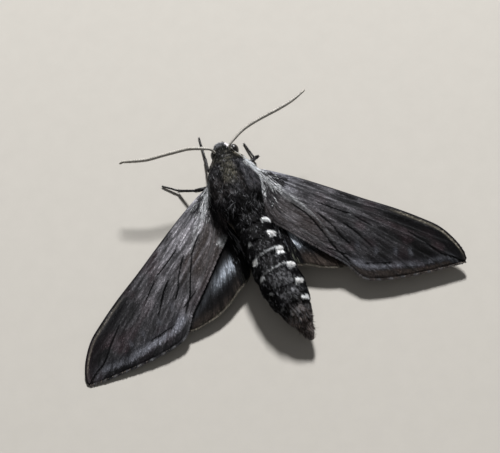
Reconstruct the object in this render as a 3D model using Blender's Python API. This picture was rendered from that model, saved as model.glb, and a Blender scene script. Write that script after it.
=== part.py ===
"""Hawk moth at rest with its wings half spread: closed solids at life size.

Body frame in millimetres: the head points to -Y, the back faces +Z and the moth's left is +X.
The thorax is centred on X = 0 and the waist, where the abdomen starts, is at Y = 0.5.
An empty carries every piece and brings the middle of the whole moth to the origin, on Z = 0.
"""

import math

import bmesh
import bpy
from mathutils import Matrix, Vector

MM = 0.001                    # metres in a millimetre

# Clearances and thicknesses
GAP = 0.08                    # left between pieces that touch
WING_THICKNESS = 0.52
JOINT_GAP = 0.24              # each length of a leg stops this far short of its joint
SOLE_HEIGHT = 0.0             # every foot is flat at this level

# How the body lies: it leans on its left side, and the abdomen bends to its right
BODY_ROLL = math.radians(7.0)
ROLL_AXIS_HEIGHT = 7.2
RING_SIDES = 20
HEADING_STEP = 0.8            # a ring faces along the middle line over this far each way

# Middle line of the trunk: distance along the body, sideways offset, height
CENTRELINE = ((-16.2, 0.1, 7.5), (-14.2, 0.1, 7.8), (-12.7, 0.1, 7.85), (-10.8, 0.0, 7.5),
              (-6.0, 0.0, 7.1), (0.5, -0.25, 6.8), (4.0, -0.7, 6.6), (8.0, -1.15, 6.3),
              (12.0, -1.6, 5.9), (16.0, -2.15, 5.35), (20.0, -2.85, 4.7), (24.5, -3.65, 3.85),
              (30.0, -4.65, 2.5))

# Trunk rings, out to the tips of the coat: distance along the body, half width, half height
HEAD_RINGS = ((-16.15, 0.7, 0.8), (-15.85, 1.3, 1.6), (-15.2, 1.9, 2.3), (-14.2, 2.35, 2.75),
              (-13.3, 2.7, 2.85), (-12.75, 3.0, 2.85))
COLLAR_RINGS = ((-12.65, 3.1, 2.9), (-12.3, 3.45, 3.15), (-11.6, 4.15, 3.65), (-10.85, 4.5, 3.95))
THORAX_RINGS = ((-10.75, 4.5, 3.95), (-9.0, 5.25, 4.5), (-7.8, 5.4, 4.7), (-6.0, 5.4, 4.8),
                (-4.0, 5.25, 4.7), (-2.2, 4.85, 4.35), (-0.6, 4.35, 3.95), (0.5, 3.85, 3.5))
ABDOMEN_RINGS = ((0.6, 3.6, 3.35), (4.0, 3.85, 3.5), (8.0, 4.15, 3.7), (12.0, 4.5, 3.85),
                 (16.0, 4.72, 3.9), (19.5, 4.6, 3.7), (22.0, 4.0, 3.2), (24.5, 3.1, 2.5),
                 (26.5, 2.15, 1.85), (28.5, 1.35, 1.2), (30.0, 0.6, 0.55))
SEGMENT_ENDS = (0.6, 3.9, 7.3, 11.0, 14.8, 18.6, 22.2, 25.6)
TUFT_END = 30.0
TUFT_RINGS = 6
SEGMENT_SWELL = (0.985, 1.0, 1.01, 1.02)    # each segment widens to a hind rim proud of the next

# Head parts, before the roll
EYE_CENTRES = {1: (1.75, -14.0, 7.0), -1: (-2.6, -14.0, 7.0)}  # by side
EYE_RADII = (0.95, 1.2, 1.3)
EYE_SEGMENTS = (16, 10)
PALP_PATH = ((0.85, -14.5, 5.0), (0.85, -15.7, 5.3), (0.85, -16.35, 6.3), (0.8, -16.5, 7.2))
PALP_RADII = (0.6, 0.8, 0.75, 0.45)
PALP_RINGS = 7
PALP_LEAN = (0.0, -1.0, 0.3)  # the palps' outer face looks forwards
FLAP_SIDES = 10
TEGULA_PATH = ((3.2, -10.4, 9.9), (4.35, -7.6, 10.1), (4.6, -4.6, 9.7), (4.1, -1.8, 9.1), (3.5, 0.3, 8.4))
TEGULA_HALF_WIDTHS = (0.7, 1.5, 1.6, 1.2, 0.55)
TEGULA_HALF_THICKNESS = 0.75
TEGULA_FULL_WIDTH = 1.1       # narrower than this, the flap thins out
TEGULA_RINGS = 9

# Feelers: thick and taller than wide, with a fine hooked tip
FEELER_PATHS = {
    "left": ((1.85, -13.55, 9.4), (2.7, -14.3, 10.35), (5.1, -15.2, 10.6), (7.2, -15.8, 10.6),
             (9.5, -16.0, 10.5), (12.7, -16.2, 10.4), (16.0, -16.4, 10.2), (19.2, -17.2, 10.0),
             (20.9, -17.7, 9.85), (21.6, -17.75, 9.5)),
    "right": ((-1.2, -13.2, 9.7), (-1.8, -14.0, 10.65), (-3.25, -14.95, 11.0), (-5.3, -16.0, 11.3),
              (-7.5, -16.6, 11.7), (-10.5, -17.1, 12.2), (-13.8, -17.6, 12.6), (-17.0, -18.4, 12.8),
              (-19.6, -19.5, 12.8), (-20.5, -20.1, 12.5)),
}
FEELER_HALF_WIDTH = 0.31
FEELER_HALF_HEIGHT = 0.42
FEELER_TIP_HALF = 0.25
FEELER_TAPER = 0.22           # share of the length over which the tip narrows
FEELER_NECK = (0.12, 0.06, 0.2)             # the pinch above the base knob: place, length, depth
FEELER_RINGS = 22
FEELER_SIDES = 8

# Forewing outline: distance from the hinge along the wing, and its front and rear edges across it
FOREWING_LENGTH = 47.6
FOREWING_FRONT = ((0.0, -0.5), (2.3, -1.0), (8.5, -1.9), (16.0, -2.6), (23.0, -3.2), (30.0, -4.0),
                  (36.0, -4.35), (39.5, -4.3), (42.9, -3.4), (45.7, -2.0), (47.6, -0.25))
FOREWING_REAR = ((0.0, 0.6), (1.6, 2.6), (4.0, 5.9), (7.2, 8.4), (11.0, 9.6), (16.0, 10.3), (20.5, 10.8),
                 (24.2, 11.2), (26.6, 12.0), (28.9, 12.5), (31.2, 11.8), (34.2, 10.2), (37.6, 8.0),
                 (41.3, 5.3), (44.8, 2.6), (47.6, 0.25))
FOREWING_CELLS = (24, 6)
FOREWING_ARCH = 0.9           # rise of the middle of the wing between hinge and tip

# Hindwing outline: a fan from its hinge, by the angle out from straight back
HINDWING_RADII = ((-1.0, 15.5), (4.0, 17.2), (13.0, 19.0), (20.0, 21.3), (26.0, 23.3), (32.0, 25.1),
                  (39.0, 27.2), (46.0, 28.0), (51.0, 26.0), (55.0, 20.0))
HINDWING_CELLS = (9, 9)
HINDWING_ROOT = 0.06          # the fan starts at this part of its radius
WING_SPACING = 0.72           # from the middle of a forewing down to the middle of the hindwing

# Wings: hinge, and the heights of tip and hind corner that tilt each one
FOREWING_CORNER = (28.9, 12.4)
WINGS = {
    "left": {"side": 1, "hinge": (5.95, -7.2, 6.2), "sweep": math.radians(49.2),
             "tip_height": 0.22, "corner_height": 1.25,
             "hind_hinge": (5.3, -3.6), "hind_turn": math.radians(-10.0)},
    "right": {"side": -1, "hinge": (-5.95, -7.3, 7.6), "sweep": math.radians(48.2),
              "tip_height": 2.3, "corner_height": 2.0,
              "hind_hinge": (-5.3, -3.6), "hind_turn": math.radians(0.0)},
}

# Legs: hip, knee, ankle and toe
LEGS = {
    "foreleg_left": ((2.4, -10.0, 4.1), (3.7, -13.3, 2.5), (3.2, -16.8, 0.62), (2.85, -22.6, 0.24)),
    "foreleg_right": ((-2.6, -10.0, 5.0), (-7.6, -12.7, 3.1), (-7.1, -13.3, 0.62), (-6.0, -18.0, 0.24)),
    "midleg_left": ((3.0, -8.2, 4.4), (7.9, -9.0, 3.7), (10.9, -11.4, 0.62), (14.2, -14.0, 0.24)),
    "midleg_right": ((-3.0, -7.6, 4.8), (-7.9, -6.4, 3.7), (-10.6, -3.4, 0.62), (-13.6, 0.6, 0.24)),
    "hindleg_left": ((2.6, -4.4, 4.2), (6.4, -1.6, 2.9), (9.2, 3.4, 0.62), (12.6, 10.0, 0.24)),
    "hindleg_right": ((-2.6, -4.4, 4.6), (-6.6, -1.4, 3.2), (-9.6, 3.4, 0.62), (-13.2, 10.0, 0.24)),
}
LEG_SEGMENTS = ("femur", "tibia", "tarsus")
LEG_RADII = ((0.55, 0.42), (0.4, 0.32), (0.3, 0.26))
LEG_PROFILE = ((0.0, 0.85), (0.12, 1.0), (0.5, 1.0), (0.9, 1.0), (1.0, 0.85))
LEG_SIDES = 8

# Finishes: colour, roughness
COLOURS = {
    "body": ((0.045, 0.042, 0.043), 0.9),
    "thorax": ((0.06, 0.055, 0.047), 0.9),
    "wing": ((0.075, 0.068, 0.072), 0.75),
    "hindwing": ((0.05, 0.046, 0.048), 0.75),
    "eye": ((0.012, 0.01, 0.01), 0.2),
    "feeler": ((0.45, 0.43, 0.4), 0.6),
    "leg": ((0.02, 0.018, 0.018), 0.5),
}


def clear_scene():
    """Remove what the file opened with."""
    for item in list(bpy.data.objects):
        bpy.data.objects.remove(item, do_unlink=True)


def make_material(name):
    """One Principled material for a finish."""
    colour, roughness = COLOURS[name]
    material = bpy.data.materials.new(name)
    material.use_nodes = True
    shader = material.node_tree.nodes["Principled BSDF"]
    shader.inputs["Base Color"].default_value = (*colour, 1.0)
    shader.inputs["Roughness"].default_value = roughness
    shader.inputs["Metallic"].default_value = 0.0
    return material


def smooth_value(rows, at, column):
    """Cubic curve through one column of rows, whose first column is the distance."""
    last = len(rows) - 1
    index = 0
    while index < last - 1 and at > rows[index + 1][0]:
        index += 1

    def slope(row):
        low, high = rows[max(row - 1, 0)], rows[min(row + 1, last)]
        return (high[column] - low[column]) / (high[0] - low[0])

    start, end = rows[index], rows[index + 1]
    span = end[0] - start[0]
    part = min(max((at - start[0]) / span, 0.0), 1.0)
    rise = (2 * part ** 3 - 3 * part ** 2 + 1) * start[column]
    rise += (3 * part ** 2 - 2 * part ** 3) * end[column]
    rise += (part ** 3 - 2 * part ** 2 + part) * span * slope(index)
    rise += (part ** 3 - part ** 2) * span * slope(index + 1)
    return rise


def rolled(point):
    """A point of the upright body, turned by the body's roll."""
    pivot = Vector((0.0, 0.0, ROLL_AXIS_HEIGHT))
    return Matrix.Rotation(BODY_ROLL, 3, "Y") @ (Vector(point) - pivot) + pivot


def loft(stations, sides):
    """Closed skin over a row of rings: each is its centre, heading, up, half width and half height."""
    mesh = bmesh.new()
    rims = []
    for number, (centre, heading, up, half_width, half_height) in enumerate(stations):
        heading = Vector(heading).normalized()
        across = heading.cross(Vector(up)).normalized()
        rise = across.cross(heading)
        place = Matrix((across * half_width, rise * half_height, heading)).transposed().to_4x4()
        place.translation = centre
        capped = number in (0, len(stations) - 1)
        ring = bmesh.ops.create_circle(mesh, cap_ends=capped, segments=sides, radius=1.0, matrix=place)
        rims.append(list({edge for vert in ring["verts"] for edge in vert.link_edges}))
    for rim, following in zip(rims, rims[1:]):
        bmesh.ops.bridge_loops(mesh, edges=rim + following)
    bmesh.ops.recalc_face_normals(mesh, faces=mesh.faces)
    return mesh


def add_piece(name, mesh, material, root):
    """Make a named object from a mesh in millimetres and hang it on the root."""
    bmesh.ops.scale(mesh, vec=(MM, MM, MM), verts=mesh.verts)
    data = bpy.data.meshes.new(name)
    mesh.to_mesh(data)
    mesh.free()
    data.shade_smooth()
    data.materials.append(material)
    piece = bpy.data.objects.new(name, data)
    bpy.context.scene.collection.objects.link(piece)
    piece.parent = root
    return piece


def cut_away(piece, name, mesh, root):
    """Cut a clearance out of a piece with a grown copy of its neighbour."""
    cutter = add_piece(name, mesh, piece.data.materials[0], root)
    cutter.hide_render = True
    cutter.display_type = "WIRE"
    modifier = piece.modifiers.new(name, "BOOLEAN")
    modifier.operation = "DIFFERENCE"
    modifier.solver = "EXACT"
    modifier.object = cutter


def middle_at(distance):
    """The trunk's middle line at a distance along the body."""
    return Vector((smooth_value(CENTRELINE, distance, 1), distance, smooth_value(CENTRELINE, distance, 2)))


def trunk_stations(rings, distances, swell=None):
    """Rolled rings of the trunk at the given distances along it."""
    up = Matrix.Rotation(BODY_ROLL, 3, "Y") @ Vector((0.0, 0.0, 1.0))
    stations = []
    for number, distance in enumerate(distances):
        half_width, half_height = (smooth_value(rings, distance, column) for column in (1, 2))
        grow = swell[number] if swell else 1.0
        heading = middle_at(distance + HEADING_STEP) - middle_at(distance - HEADING_STEP)
        stations.append((middle_at(distance), heading, up, half_width * grow, half_height * grow))
    return stations


def spread(start, end, count):
    """Evenly spaced values from start to end."""
    return [start + (end - start) * number / (count - 1) for number in range(count)]


def curve_points(path, count):
    """Evenly numbered points on a smooth curve through a path."""
    rows = [(number, *point) for number, point in enumerate(path)]
    return [Vector([smooth_value(rows, at, column) for column in (1, 2, 3)])
            for at in spread(0, len(path) - 1, count)]


def tube(points, half_widths, half_heights, sides, ups=None):
    """Loft along a line of points."""
    stations = []
    for number, point in enumerate(points):
        ahead = points[min(number + 1, len(points) - 1)]
        behind = points[max(number - 1, 0)]
        up = ups[number] if ups else (0.0, 0.0, 1.0)
        stations.append((point, ahead - behind, up, half_widths[number], half_heights[number]))
    return loft(stations, sides)


def make_trunk(materials, root):
    """Head, collar, thorax, the rings of the abdomen and the tuft at its end."""
    spans = (("head", HEAD_RINGS, "thorax"), ("collar", COLLAR_RINGS, "thorax"),
             ("thorax", THORAX_RINGS, "thorax"))
    pieces = {}
    for name, rings, finish in spans:
        mesh = loft(trunk_stations(rings, [ring[0] for ring in rings]), RING_SIDES)
        pieces[name] = add_piece(name, mesh, materials[finish], root)
    for number, (start, end) in enumerate(zip(SEGMENT_ENDS, SEGMENT_ENDS[1:]), start=1):
        distances = spread(start + GAP / 2, end - GAP / 2, len(SEGMENT_SWELL))
        mesh = loft(trunk_stations(ABDOMEN_RINGS, distances, SEGMENT_SWELL), RING_SIDES)
        add_piece(f"abdomen_{number}", mesh, materials["body"], root)
    distances = spread(SEGMENT_ENDS[-1] + GAP / 2, TUFT_END, TUFT_RINGS)
    mesh = loft(trunk_stations(ABDOMEN_RINGS, distances), RING_SIDES)
    add_piece("tail_tuft", mesh, materials["body"], root)
    return pieces


def eye_mesh(side, grow):
    """An egg-shaped eye, larger all round by grow."""
    mesh = bmesh.new()
    bmesh.ops.create_uvsphere(mesh, u_segments=EYE_SEGMENTS[0], v_segments=EYE_SEGMENTS[1], radius=1.0)
    bmesh.ops.scale(mesh, vec=[radius + grow for radius in EYE_RADII], verts=mesh.verts)
    bmesh.ops.rotate(mesh, matrix=Matrix.Rotation(BODY_ROLL, 3, "Y"), verts=mesh.verts)
    bmesh.ops.translate(mesh, vec=rolled(EYE_CENTRES[side]), verts=mesh.verts)
    return mesh


def palp_mesh(side, grow):
    """An upturned mouth palp."""
    points = [rolled((x * side, y, z)) for x, y, z in curve_points(PALP_PATH, PALP_RINGS)]
    rows = list(enumerate(PALP_RADII))
    radii = [smooth_value(rows, at, 1) + grow for at in spread(0, len(PALP_PATH) - 1, PALP_RINGS)]
    return tube(points, radii, radii, FLAP_SIDES, [PALP_LEAN] * PALP_RINGS)


def tegula_mesh(side, grow):
    """The flap of scales over a wing's shoulder, lying on the side of the thorax."""
    points = []
    ups = []
    for x, y, z in curve_points(TEGULA_PATH, TEGULA_RINGS):
        point = rolled((x * side, y, z))
        points.append(point)
        ups.append(point - Vector((0.0, point.y, ROLL_AXIS_HEIGHT)))
    rows = list(enumerate(TEGULA_HALF_WIDTHS))
    places = spread(0, len(TEGULA_PATH) - 1, TEGULA_RINGS)
    widths = [smooth_value(rows, at, 1) + grow for at in places]
    heights = [TEGULA_HALF_THICKNESS * min(1.0, width / TEGULA_FULL_WIDTH) + grow for width in widths]
    return tube(points, widths, heights, FLAP_SIDES, ups)


def feeler_mesh(name, grow):
    """A feeler: a knob at the base, then a slowly swelling shaft to a hooked tip."""
    points = curve_points(FEELER_PATHS[name], FEELER_RINGS)
    neck_place, neck_length, neck_depth = FEELER_NECK
    widths = []
    heights = []
    for along in spread(0.0, 1.0, FEELER_RINGS):
        taper = min(1.0, (1.0 - along) / FEELER_TAPER)
        pinch = 1.0 - neck_depth * math.exp(-((along - neck_place) / neck_length) ** 2)
        widths.append((FEELER_TIP_HALF + (FEELER_HALF_WIDTH - FEELER_TIP_HALF) * taper) * pinch + grow)
        heights.append((FEELER_TIP_HALF + (FEELER_HALF_HEIGHT - FEELER_TIP_HALF) * taper) * pinch + grow)
    return tube(points, widths, heights, FEELER_SIDES)


def leg_mesh(start, end, radii, grow):
    """One straight tapered length of a leg, its ends drawn back from the joints."""
    direction = (end - start).normalized()
    start = start + direction * JOINT_GAP
    end = end - direction * JOINT_GAP
    points = [start.lerp(end, part) for part, _share in LEG_PROFILE]
    sizes = [(radii[0] + (radii[1] - radii[0]) * part) * share + grow for part, share in LEG_PROFILE]
    return tube(points, sizes, sizes, LEG_SIDES)


def wing_directions(wing):
    """The directions along a forewing and rearwards across it, over the floor."""
    out = Vector((wing["side"] * math.sin(wing["sweep"]), math.cos(wing["sweep"])))
    back = Vector((-wing["side"] * math.cos(wing["sweep"]), math.sin(wing["sweep"])))
    return out, back


def wing_height(wing, place):
    """Height of the forewing's middle surface over a place on the floor."""
    out, back = wing_directions(wing)
    hinge = Vector(wing["hinge"])
    corner_along, corner_across = FOREWING_CORNER
    dip = (wing["tip_height"] - hinge.z) / FOREWING_LENGTH
    droop = (wing["corner_height"] - hinge.z - dip * corner_along) / corner_across
    along, across = (place - hinge.xy).dot(out), (place - hinge.xy).dot(back)
    part = min(max(along / FOREWING_LENGTH, 0.0), 1.0)
    return hinge.z + dip * along + droop * across + FOREWING_ARCH * math.sin(math.pi * part)


def thicken(mesh, thickness):
    """Turn a sheet into a closed slab, half above and half below it."""
    sheet = list(mesh.faces)
    for face in sheet:
        if face.normal.z < 0:
            face.normal_flip()
    grown = bmesh.ops.extrude_face_region(mesh, geom=sheet, use_keep_orig=True)["geom"]
    top = [item for item in grown if isinstance(item, bmesh.types.BMVert)]
    bottom = [vert for vert in mesh.verts if vert not in set(top)]
    bmesh.ops.translate(mesh, vec=(0.0, 0.0, thickness / 2), verts=top)
    bmesh.ops.translate(mesh, vec=(0.0, 0.0, -thickness / 2), verts=bottom)
    for vert in bottom:
        vert.co.z = max(vert.co.z, SOLE_HEIGHT)
    bmesh.ops.recalc_face_normals(mesh, faces=mesh.faces)


def forewing_mesh(wing):
    """A forewing: a grid laid between its front and rear edges."""
    mesh = bmesh.new()
    cells = FOREWING_CELLS
    bmesh.ops.create_grid(mesh, x_segments=cells[0], y_segments=cells[1], size=0.5)
    out, back = wing_directions(wing)
    for vert in mesh.verts:
        along = FOREWING_LENGTH * (vert.co.x + 0.5)
        front = smooth_value(FOREWING_FRONT, along, 1)
        rear = smooth_value(FOREWING_REAR, along, 1)
        across = front + (rear - front) * (vert.co.y + 0.5)
        place = Vector(wing["hinge"]).xy + out * along + back * across
        vert.co = (*place, wing_height(wing, place))
    thicken(mesh, WING_THICKNESS)
    return mesh


def hindwing_mesh(wing):
    """A hindwing: a fan of cells under the forewing."""
    mesh = bmesh.new()
    cells = HINDWING_CELLS
    bmesh.ops.create_grid(mesh, x_segments=cells[0], y_segments=cells[1], size=0.5)
    first, last = HINDWING_RADII[0][0], HINDWING_RADII[-1][0]
    for vert in mesh.verts:
        degrees = first + (last - first) * (vert.co.y + 0.5)
        part = HINDWING_ROOT + (1 - HINDWING_ROOT) * (vert.co.x + 0.5)
        radius = part * smooth_value(HINDWING_RADII, degrees, 1)
        angle = math.radians(degrees) + wing["hind_turn"]
        away = Vector((wing["side"] * math.sin(angle), math.cos(angle))) * radius
        place = Vector(wing["hind_hinge"]) + away
        vert.co = (*place, wing_height(wing, place) - WING_SPACING)
    thicken(mesh, WING_THICKNESS)
    return mesh


def make_head_parts(pieces, materials, root):
    """Eyes, palps and feelers, each with its socket in the head."""
    for name, wing in WINGS.items():
        side = wing["side"]
        add_piece(f"eye_{name}", eye_mesh(side, 0.0), materials["eye"], root)
        cut_away(pieces["head"], f"eye_socket_{name}", eye_mesh(side, GAP), root)
        add_piece(f"palp_{name}", palp_mesh(side, 0.0), materials["thorax"], root)
        cut_away(pieces["head"], f"palp_socket_{name}", palp_mesh(side, GAP), root)
        add_piece(f"antenna_{name}", feeler_mesh(name, 0.0), materials["feeler"], root)
        cut_away(pieces["head"], f"antenna_socket_{name}", feeler_mesh(name, GAP), root)


def make_tegulae(pieces, materials, root):
    """The two shoulder flaps, let into the thorax."""
    for name, wing in WINGS.items():
        add_piece(f"tegula_{name}", tegula_mesh(wing["side"], 0.0), materials["thorax"], root)
        cut_away(pieces["thorax"], f"tegula_bed_{name}", tegula_mesh(wing["side"], GAP), root)


def make_wings(materials, root):
    """Two forewings over two hindwings."""
    for name, wing in WINGS.items():
        add_piece(f"forewing_{name}", forewing_mesh(wing), materials["wing"], root)
        add_piece(f"hindwing_{name}", hindwing_mesh(wing), materials["hindwing"], root)


def make_legs(pieces, materials, root):
    """Six legs of three lengths each, standing flat on the floor."""
    for name, joints in LEGS.items():
        joints = [Vector(joint) for joint in joints]
        for segment, start, end, radii in zip(LEG_SEGMENTS, joints, joints[1:], LEG_RADII):
            mesh = leg_mesh(start, end, radii, 0.0)
            for vert in mesh.verts:
                vert.co.z = max(vert.co.z, SOLE_HEIGHT)
            add_piece(f"{name}_{segment}", mesh, materials["leg"], root)
        hip = leg_mesh(joints[0], joints[1], LEG_RADII[0], GAP)
        cut_away(pieces["thorax"], f"{name}_socket", hip, root)


def centre_on_floor(root):
    """Bring the middle of the moth to the origin, with its feet on Z = 0."""
    lowest = Vector((1.0, 1.0, 1.0))
    highest = -lowest
    for piece in root.children:
        if piece.hide_render:
            continue
        for corner in piece.bound_box:
            lowest = Vector(map(min, lowest, corner))
            highest = Vector(map(max, highest, corner))
    middle = (lowest + highest) / 2
    root.location = (-middle.x, -middle.y, -lowest.z)


def main():
    clear_scene()
    root = bpy.data.objects.new("moth", None)
    bpy.context.scene.collection.objects.link(root)
    materials = {name: make_material(name) for name in COLOURS}
    pieces = make_trunk(materials, root)
    make_head_parts(pieces, materials, root)
    make_tegulae(pieces, materials, root)
    make_wings(materials, root)
    make_legs(pieces, materials, root)
    centre_on_floor(root)


main()
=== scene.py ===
"""Looks of a still hawk moth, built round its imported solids.

Lengths in the functions are millimetres in the moth's own frame: head towards -Y, back towards +Z
and left wings towards +X. MM turns them to metres, and the eyes' solids say where that frame lies.
"""

import math

import bmesh
import bpy
import numpy as np
from bpy.props import FloatProperty, FloatVectorProperty, IntProperty, PointerProperty
from mathutils import Matrix, Vector


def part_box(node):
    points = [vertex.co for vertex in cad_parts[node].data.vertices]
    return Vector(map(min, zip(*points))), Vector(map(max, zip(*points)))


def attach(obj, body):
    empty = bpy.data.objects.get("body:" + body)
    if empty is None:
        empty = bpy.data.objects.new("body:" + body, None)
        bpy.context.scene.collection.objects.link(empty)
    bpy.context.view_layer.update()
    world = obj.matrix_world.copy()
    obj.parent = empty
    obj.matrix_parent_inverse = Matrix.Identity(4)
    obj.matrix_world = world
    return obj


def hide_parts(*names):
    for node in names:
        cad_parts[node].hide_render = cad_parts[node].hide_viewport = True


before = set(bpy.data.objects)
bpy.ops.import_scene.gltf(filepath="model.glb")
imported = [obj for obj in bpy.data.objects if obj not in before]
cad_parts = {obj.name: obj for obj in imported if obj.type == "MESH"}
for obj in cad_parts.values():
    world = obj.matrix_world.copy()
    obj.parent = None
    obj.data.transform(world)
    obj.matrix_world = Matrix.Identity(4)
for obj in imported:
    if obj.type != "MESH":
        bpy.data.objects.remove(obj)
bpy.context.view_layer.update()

bl_info = {
    "name": "Hawk Moth Finish",
    "version": (1, 0, 0),
    "blender": (4, 5, 0),
    "location": "3D View > Sidebar > Moth",
    "description": "Skin, coat, wings, feelers and legs of a still hawk moth",
    "category": "Object",
}

MM = 0.001                    # metres in a millimetre
BODY = "root"                 # the one body that every piece rides on
BAKE_MAP = "OFBake"
PATCH = 0.003                 # size of a tuft's patch on its map

# How the body lies, as in its solids
BODY_ROLL = math.radians(7.0)
ROLL_AXIS_HEIGHT = 7.2
CENTRELINE = ((-16.2, 0.1, 7.5), (-14.2, 0.1, 7.8), (-12.7, 0.1, 7.85), (-10.8, 0.0, 7.5),
              (-6.0, 0.0, 7.1), (0.5, -0.25, 6.8), (4.0, -0.7, 6.6), (8.0, -1.15, 6.3),
              (12.0, -1.6, 5.9), (16.0, -2.15, 5.35), (20.0, -2.85, 4.7), (24.5, -3.65, 3.85),
              (30.0, -4.65, 2.5))
NOSE, NECK, THORAX_START, WAIST, TAIL_TIP = -16.2, -12.7, -10.7, 0.6, 30.0
SEGMENT_ENDS = (0.6, 3.9, 7.3, 11.0, 14.8, 18.6, 22.2, 25.6)
TRUNK_RADIUS = 4.3            # a typical one, which turns angles to arcs
EYE_CENTRES = {1: (1.75, -14.0, 7.0), -1: (-2.6, -14.0, 7.0)}  # by side
EYE_RADII = (0.95, 1.2, 1.3)
SIDES = {"left": 1, "right": -1}
LEG_NAMES = [f"{leg}_{side}" for leg in ("foreleg", "midleg", "hindleg") for side in SIDES]
FLESH = ["head", "collar", "thorax", "tegula_left", "tegula_right", "tail_tuft", "palp_left",
         "palp_right"] + [f"abdomen_{number}" for number in range(1, 8)]

# Feelers, from the base knob to the hooked tip
FEELER_PATHS = {
    "left": ((1.85, -13.55, 9.4), (2.7, -14.3, 10.35), (5.1, -15.2, 10.6), (7.2, -15.8, 10.6),
             (9.5, -16.0, 10.5), (12.7, -16.2, 10.4), (16.0, -16.4, 10.2), (19.2, -17.2, 10.0),
             (20.9, -17.7, 9.85), (21.6, -17.75, 9.5)),
    "right": ((-1.2, -13.2, 9.7), (-1.8, -14.0, 10.65), (-3.25, -14.95, 11.0), (-5.3, -16.0, 11.3),
              (-7.5, -16.6, 11.7), (-10.5, -17.1, 12.2), (-13.8, -17.6, 12.6), (-17.0, -18.4, 12.8),
              (-19.6, -19.5, 12.8), (-20.5, -20.1, 12.5)),
}

# Forewing outline: distance from the hinge along the wing, and its front and rear edges across it
FOREWING_LENGTH = 47.6
FOREWING_FRONT = ((0.0, -0.5), (2.3, -1.0), (8.5, -1.9), (16.0, -2.6), (23.0, -3.2), (30.0, -4.0),
                  (36.0, -4.35), (39.5, -4.3), (42.9, -3.4), (45.7, -2.0), (47.6, -0.25))
FOREWING_REAR = ((0.0, 0.6), (1.6, 2.6), (4.0, 5.9), (7.2, 8.4), (11.0, 9.6), (16.0, 10.3), (20.5, 10.8),
                 (24.2, 11.2), (26.6, 12.0), (28.9, 12.5), (31.2, 11.8), (34.2, 10.2), (37.6, 8.0),
                 (41.3, 5.3), (44.8, 2.6), (47.6, 0.25))
FOREWING_ARCH = 0.9           # rise of the wing's middle over a straight line to its tip
FOREWING_CORNER = (28.9, 12.4)  # the hind corner, along and across
# The scales run out between the front edge and this line, which leaves the outline at the hind corner
SCALE_FLOW_REAR = ((0.0, 0.6), (1.6, 2.6), (4.0, 5.9), (7.2, 8.4), (11.0, 9.6), (16.0, 10.3),
                   (20.5, 10.9), (24.2, 11.7), (28.9, 13.2), (38.0, 17.4), (48.0, 22.0))

# Hindwing outline: a fan from its hinge, by the angle out from straight back
HINDWING_RADII = ((-9.0, 12.6), (-5.0, 14.2), (-1.0, 15.5), (4.0, 17.2), (13.0, 19.0), (20.0, 21.3),
                  (26.0, 23.3), (32.0, 25.1), (39.0, 27.2), (46.0, 28.0), (51.0, 26.0), (55.0, 20.0))
WING_SPACING = 0.72           # from a forewing's middle down to the hindwing's
WINGS = {
    "left": {"side": 1, "hinge": (5.95, -7.2, 6.2), "sweep": math.radians(49.2),
             "tip_height": 0.22, "corner_height": 1.25,
             "hind_hinge": (5.3, -3.6), "hind_turn": math.radians(-10.0), "dash_shift": 0.12},
    "right": {"side": -1, "hinge": (-5.95, -7.3, 7.6), "sweep": math.radians(48.2),
              "tip_height": 2.3, "corner_height": 2.0,
              "hind_hinge": (-5.3, -3.6), "hind_turn": 0.0, "dash_shift": 0.45},
}


# ---------------------------------------------------------------- colours and curves

def linear(code):
    """Linear light of an sRGB hex colour."""
    channels = [int(code[start:start + 2], 16) / 255 for start in (1, 3, 5)]
    return np.array([value / 12.92 if value <= 0.04045 else ((value + 0.055) / 1.055) ** 2.4
                     for value in channels])


SOOT = linear("#1c1b1e")
CHARCOAL = linear("#3b3a3d")
OLIVE = linear("#504d42")
ASH = linear("#8b8c90")
WHITE = linear("#f4f7fa")
BROWN = linear("#4b423d")
BUFF = linear("#a9a294")
SLATE = linear("#8b8d97")


def curve(rows, at, column=1):
    """Smooth curve through one column of rows, read at many distances."""
    rows = np.array(rows, float)
    places, values = rows[:, 0], rows[:, column]
    slopes = np.gradient(values, places)
    slopes[1:-1] = (values[2:] - values[:-2]) / (places[2:] - places[:-2])
    at = np.clip(at, places[0], places[-1])
    start = np.clip(np.searchsorted(places, at, side="right") - 1, 0, len(places) - 2)
    span = places[start + 1] - places[start]
    part = (at - places[start]) / span
    rise = (2 * part ** 3 - 3 * part ** 2 + 1) * values[start]
    rise += (3 * part ** 2 - 2 * part ** 3) * values[start + 1]
    rise += (part ** 3 - 2 * part ** 2 + part) * span * slopes[start]
    return rise + (part ** 3 - part ** 2) * span * slopes[start + 1]


def ramp(value, low, high):
    """0 below low, 1 above high and a smooth step between."""
    part = np.clip((value - low) / (high - low), 0.0, 1.0)
    return part * part * (3 - 2 * part)


def within(value, low, high, soft):
    """1 between low and high, fading over soft on either side."""
    return ramp(value, low - soft, low + soft) * (1 - ramp(value, high - soft, high + soft))


def bell(value, middle, width):
    """1 at the middle, falling to nothing over about two widths on either side."""
    return np.exp(-((value - middle) / width) ** 2)


def grain(across, along, seed):
    """Smooth random values from 0 to 1, one for each unit cell of a lattice."""
    table = np.random.default_rng(seed).random((97, 89))
    column, row = np.floor(across).astype(int), np.floor(along).astype(int)
    part, rise = across - column, along - row
    part, rise = part * part * (3 - 2 * part), rise * rise * (3 - 2 * rise)
    low = table[column % 97, row % 89] * (1 - part) + table[(column + 1) % 97, row % 89] * part
    high = table[column % 97, (row + 1) % 89] * (1 - part) + table[(column + 1) % 97, (row + 1) % 89] * part
    return low * (1 - rise) + high * rise


def tinted(colours, colour, amount):
    """Colours moved towards one colour by an amount for each."""
    return colours + (colour - colours) * np.clip(amount, 0.0, 1.0)[:, None]


def painted(colours, *layers):
    """Colours after some layers in order, each a colour and how much of it covers them."""
    for colour, amount in layers:
        colours = tinted(colours, colour, amount)
    return colours


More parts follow.
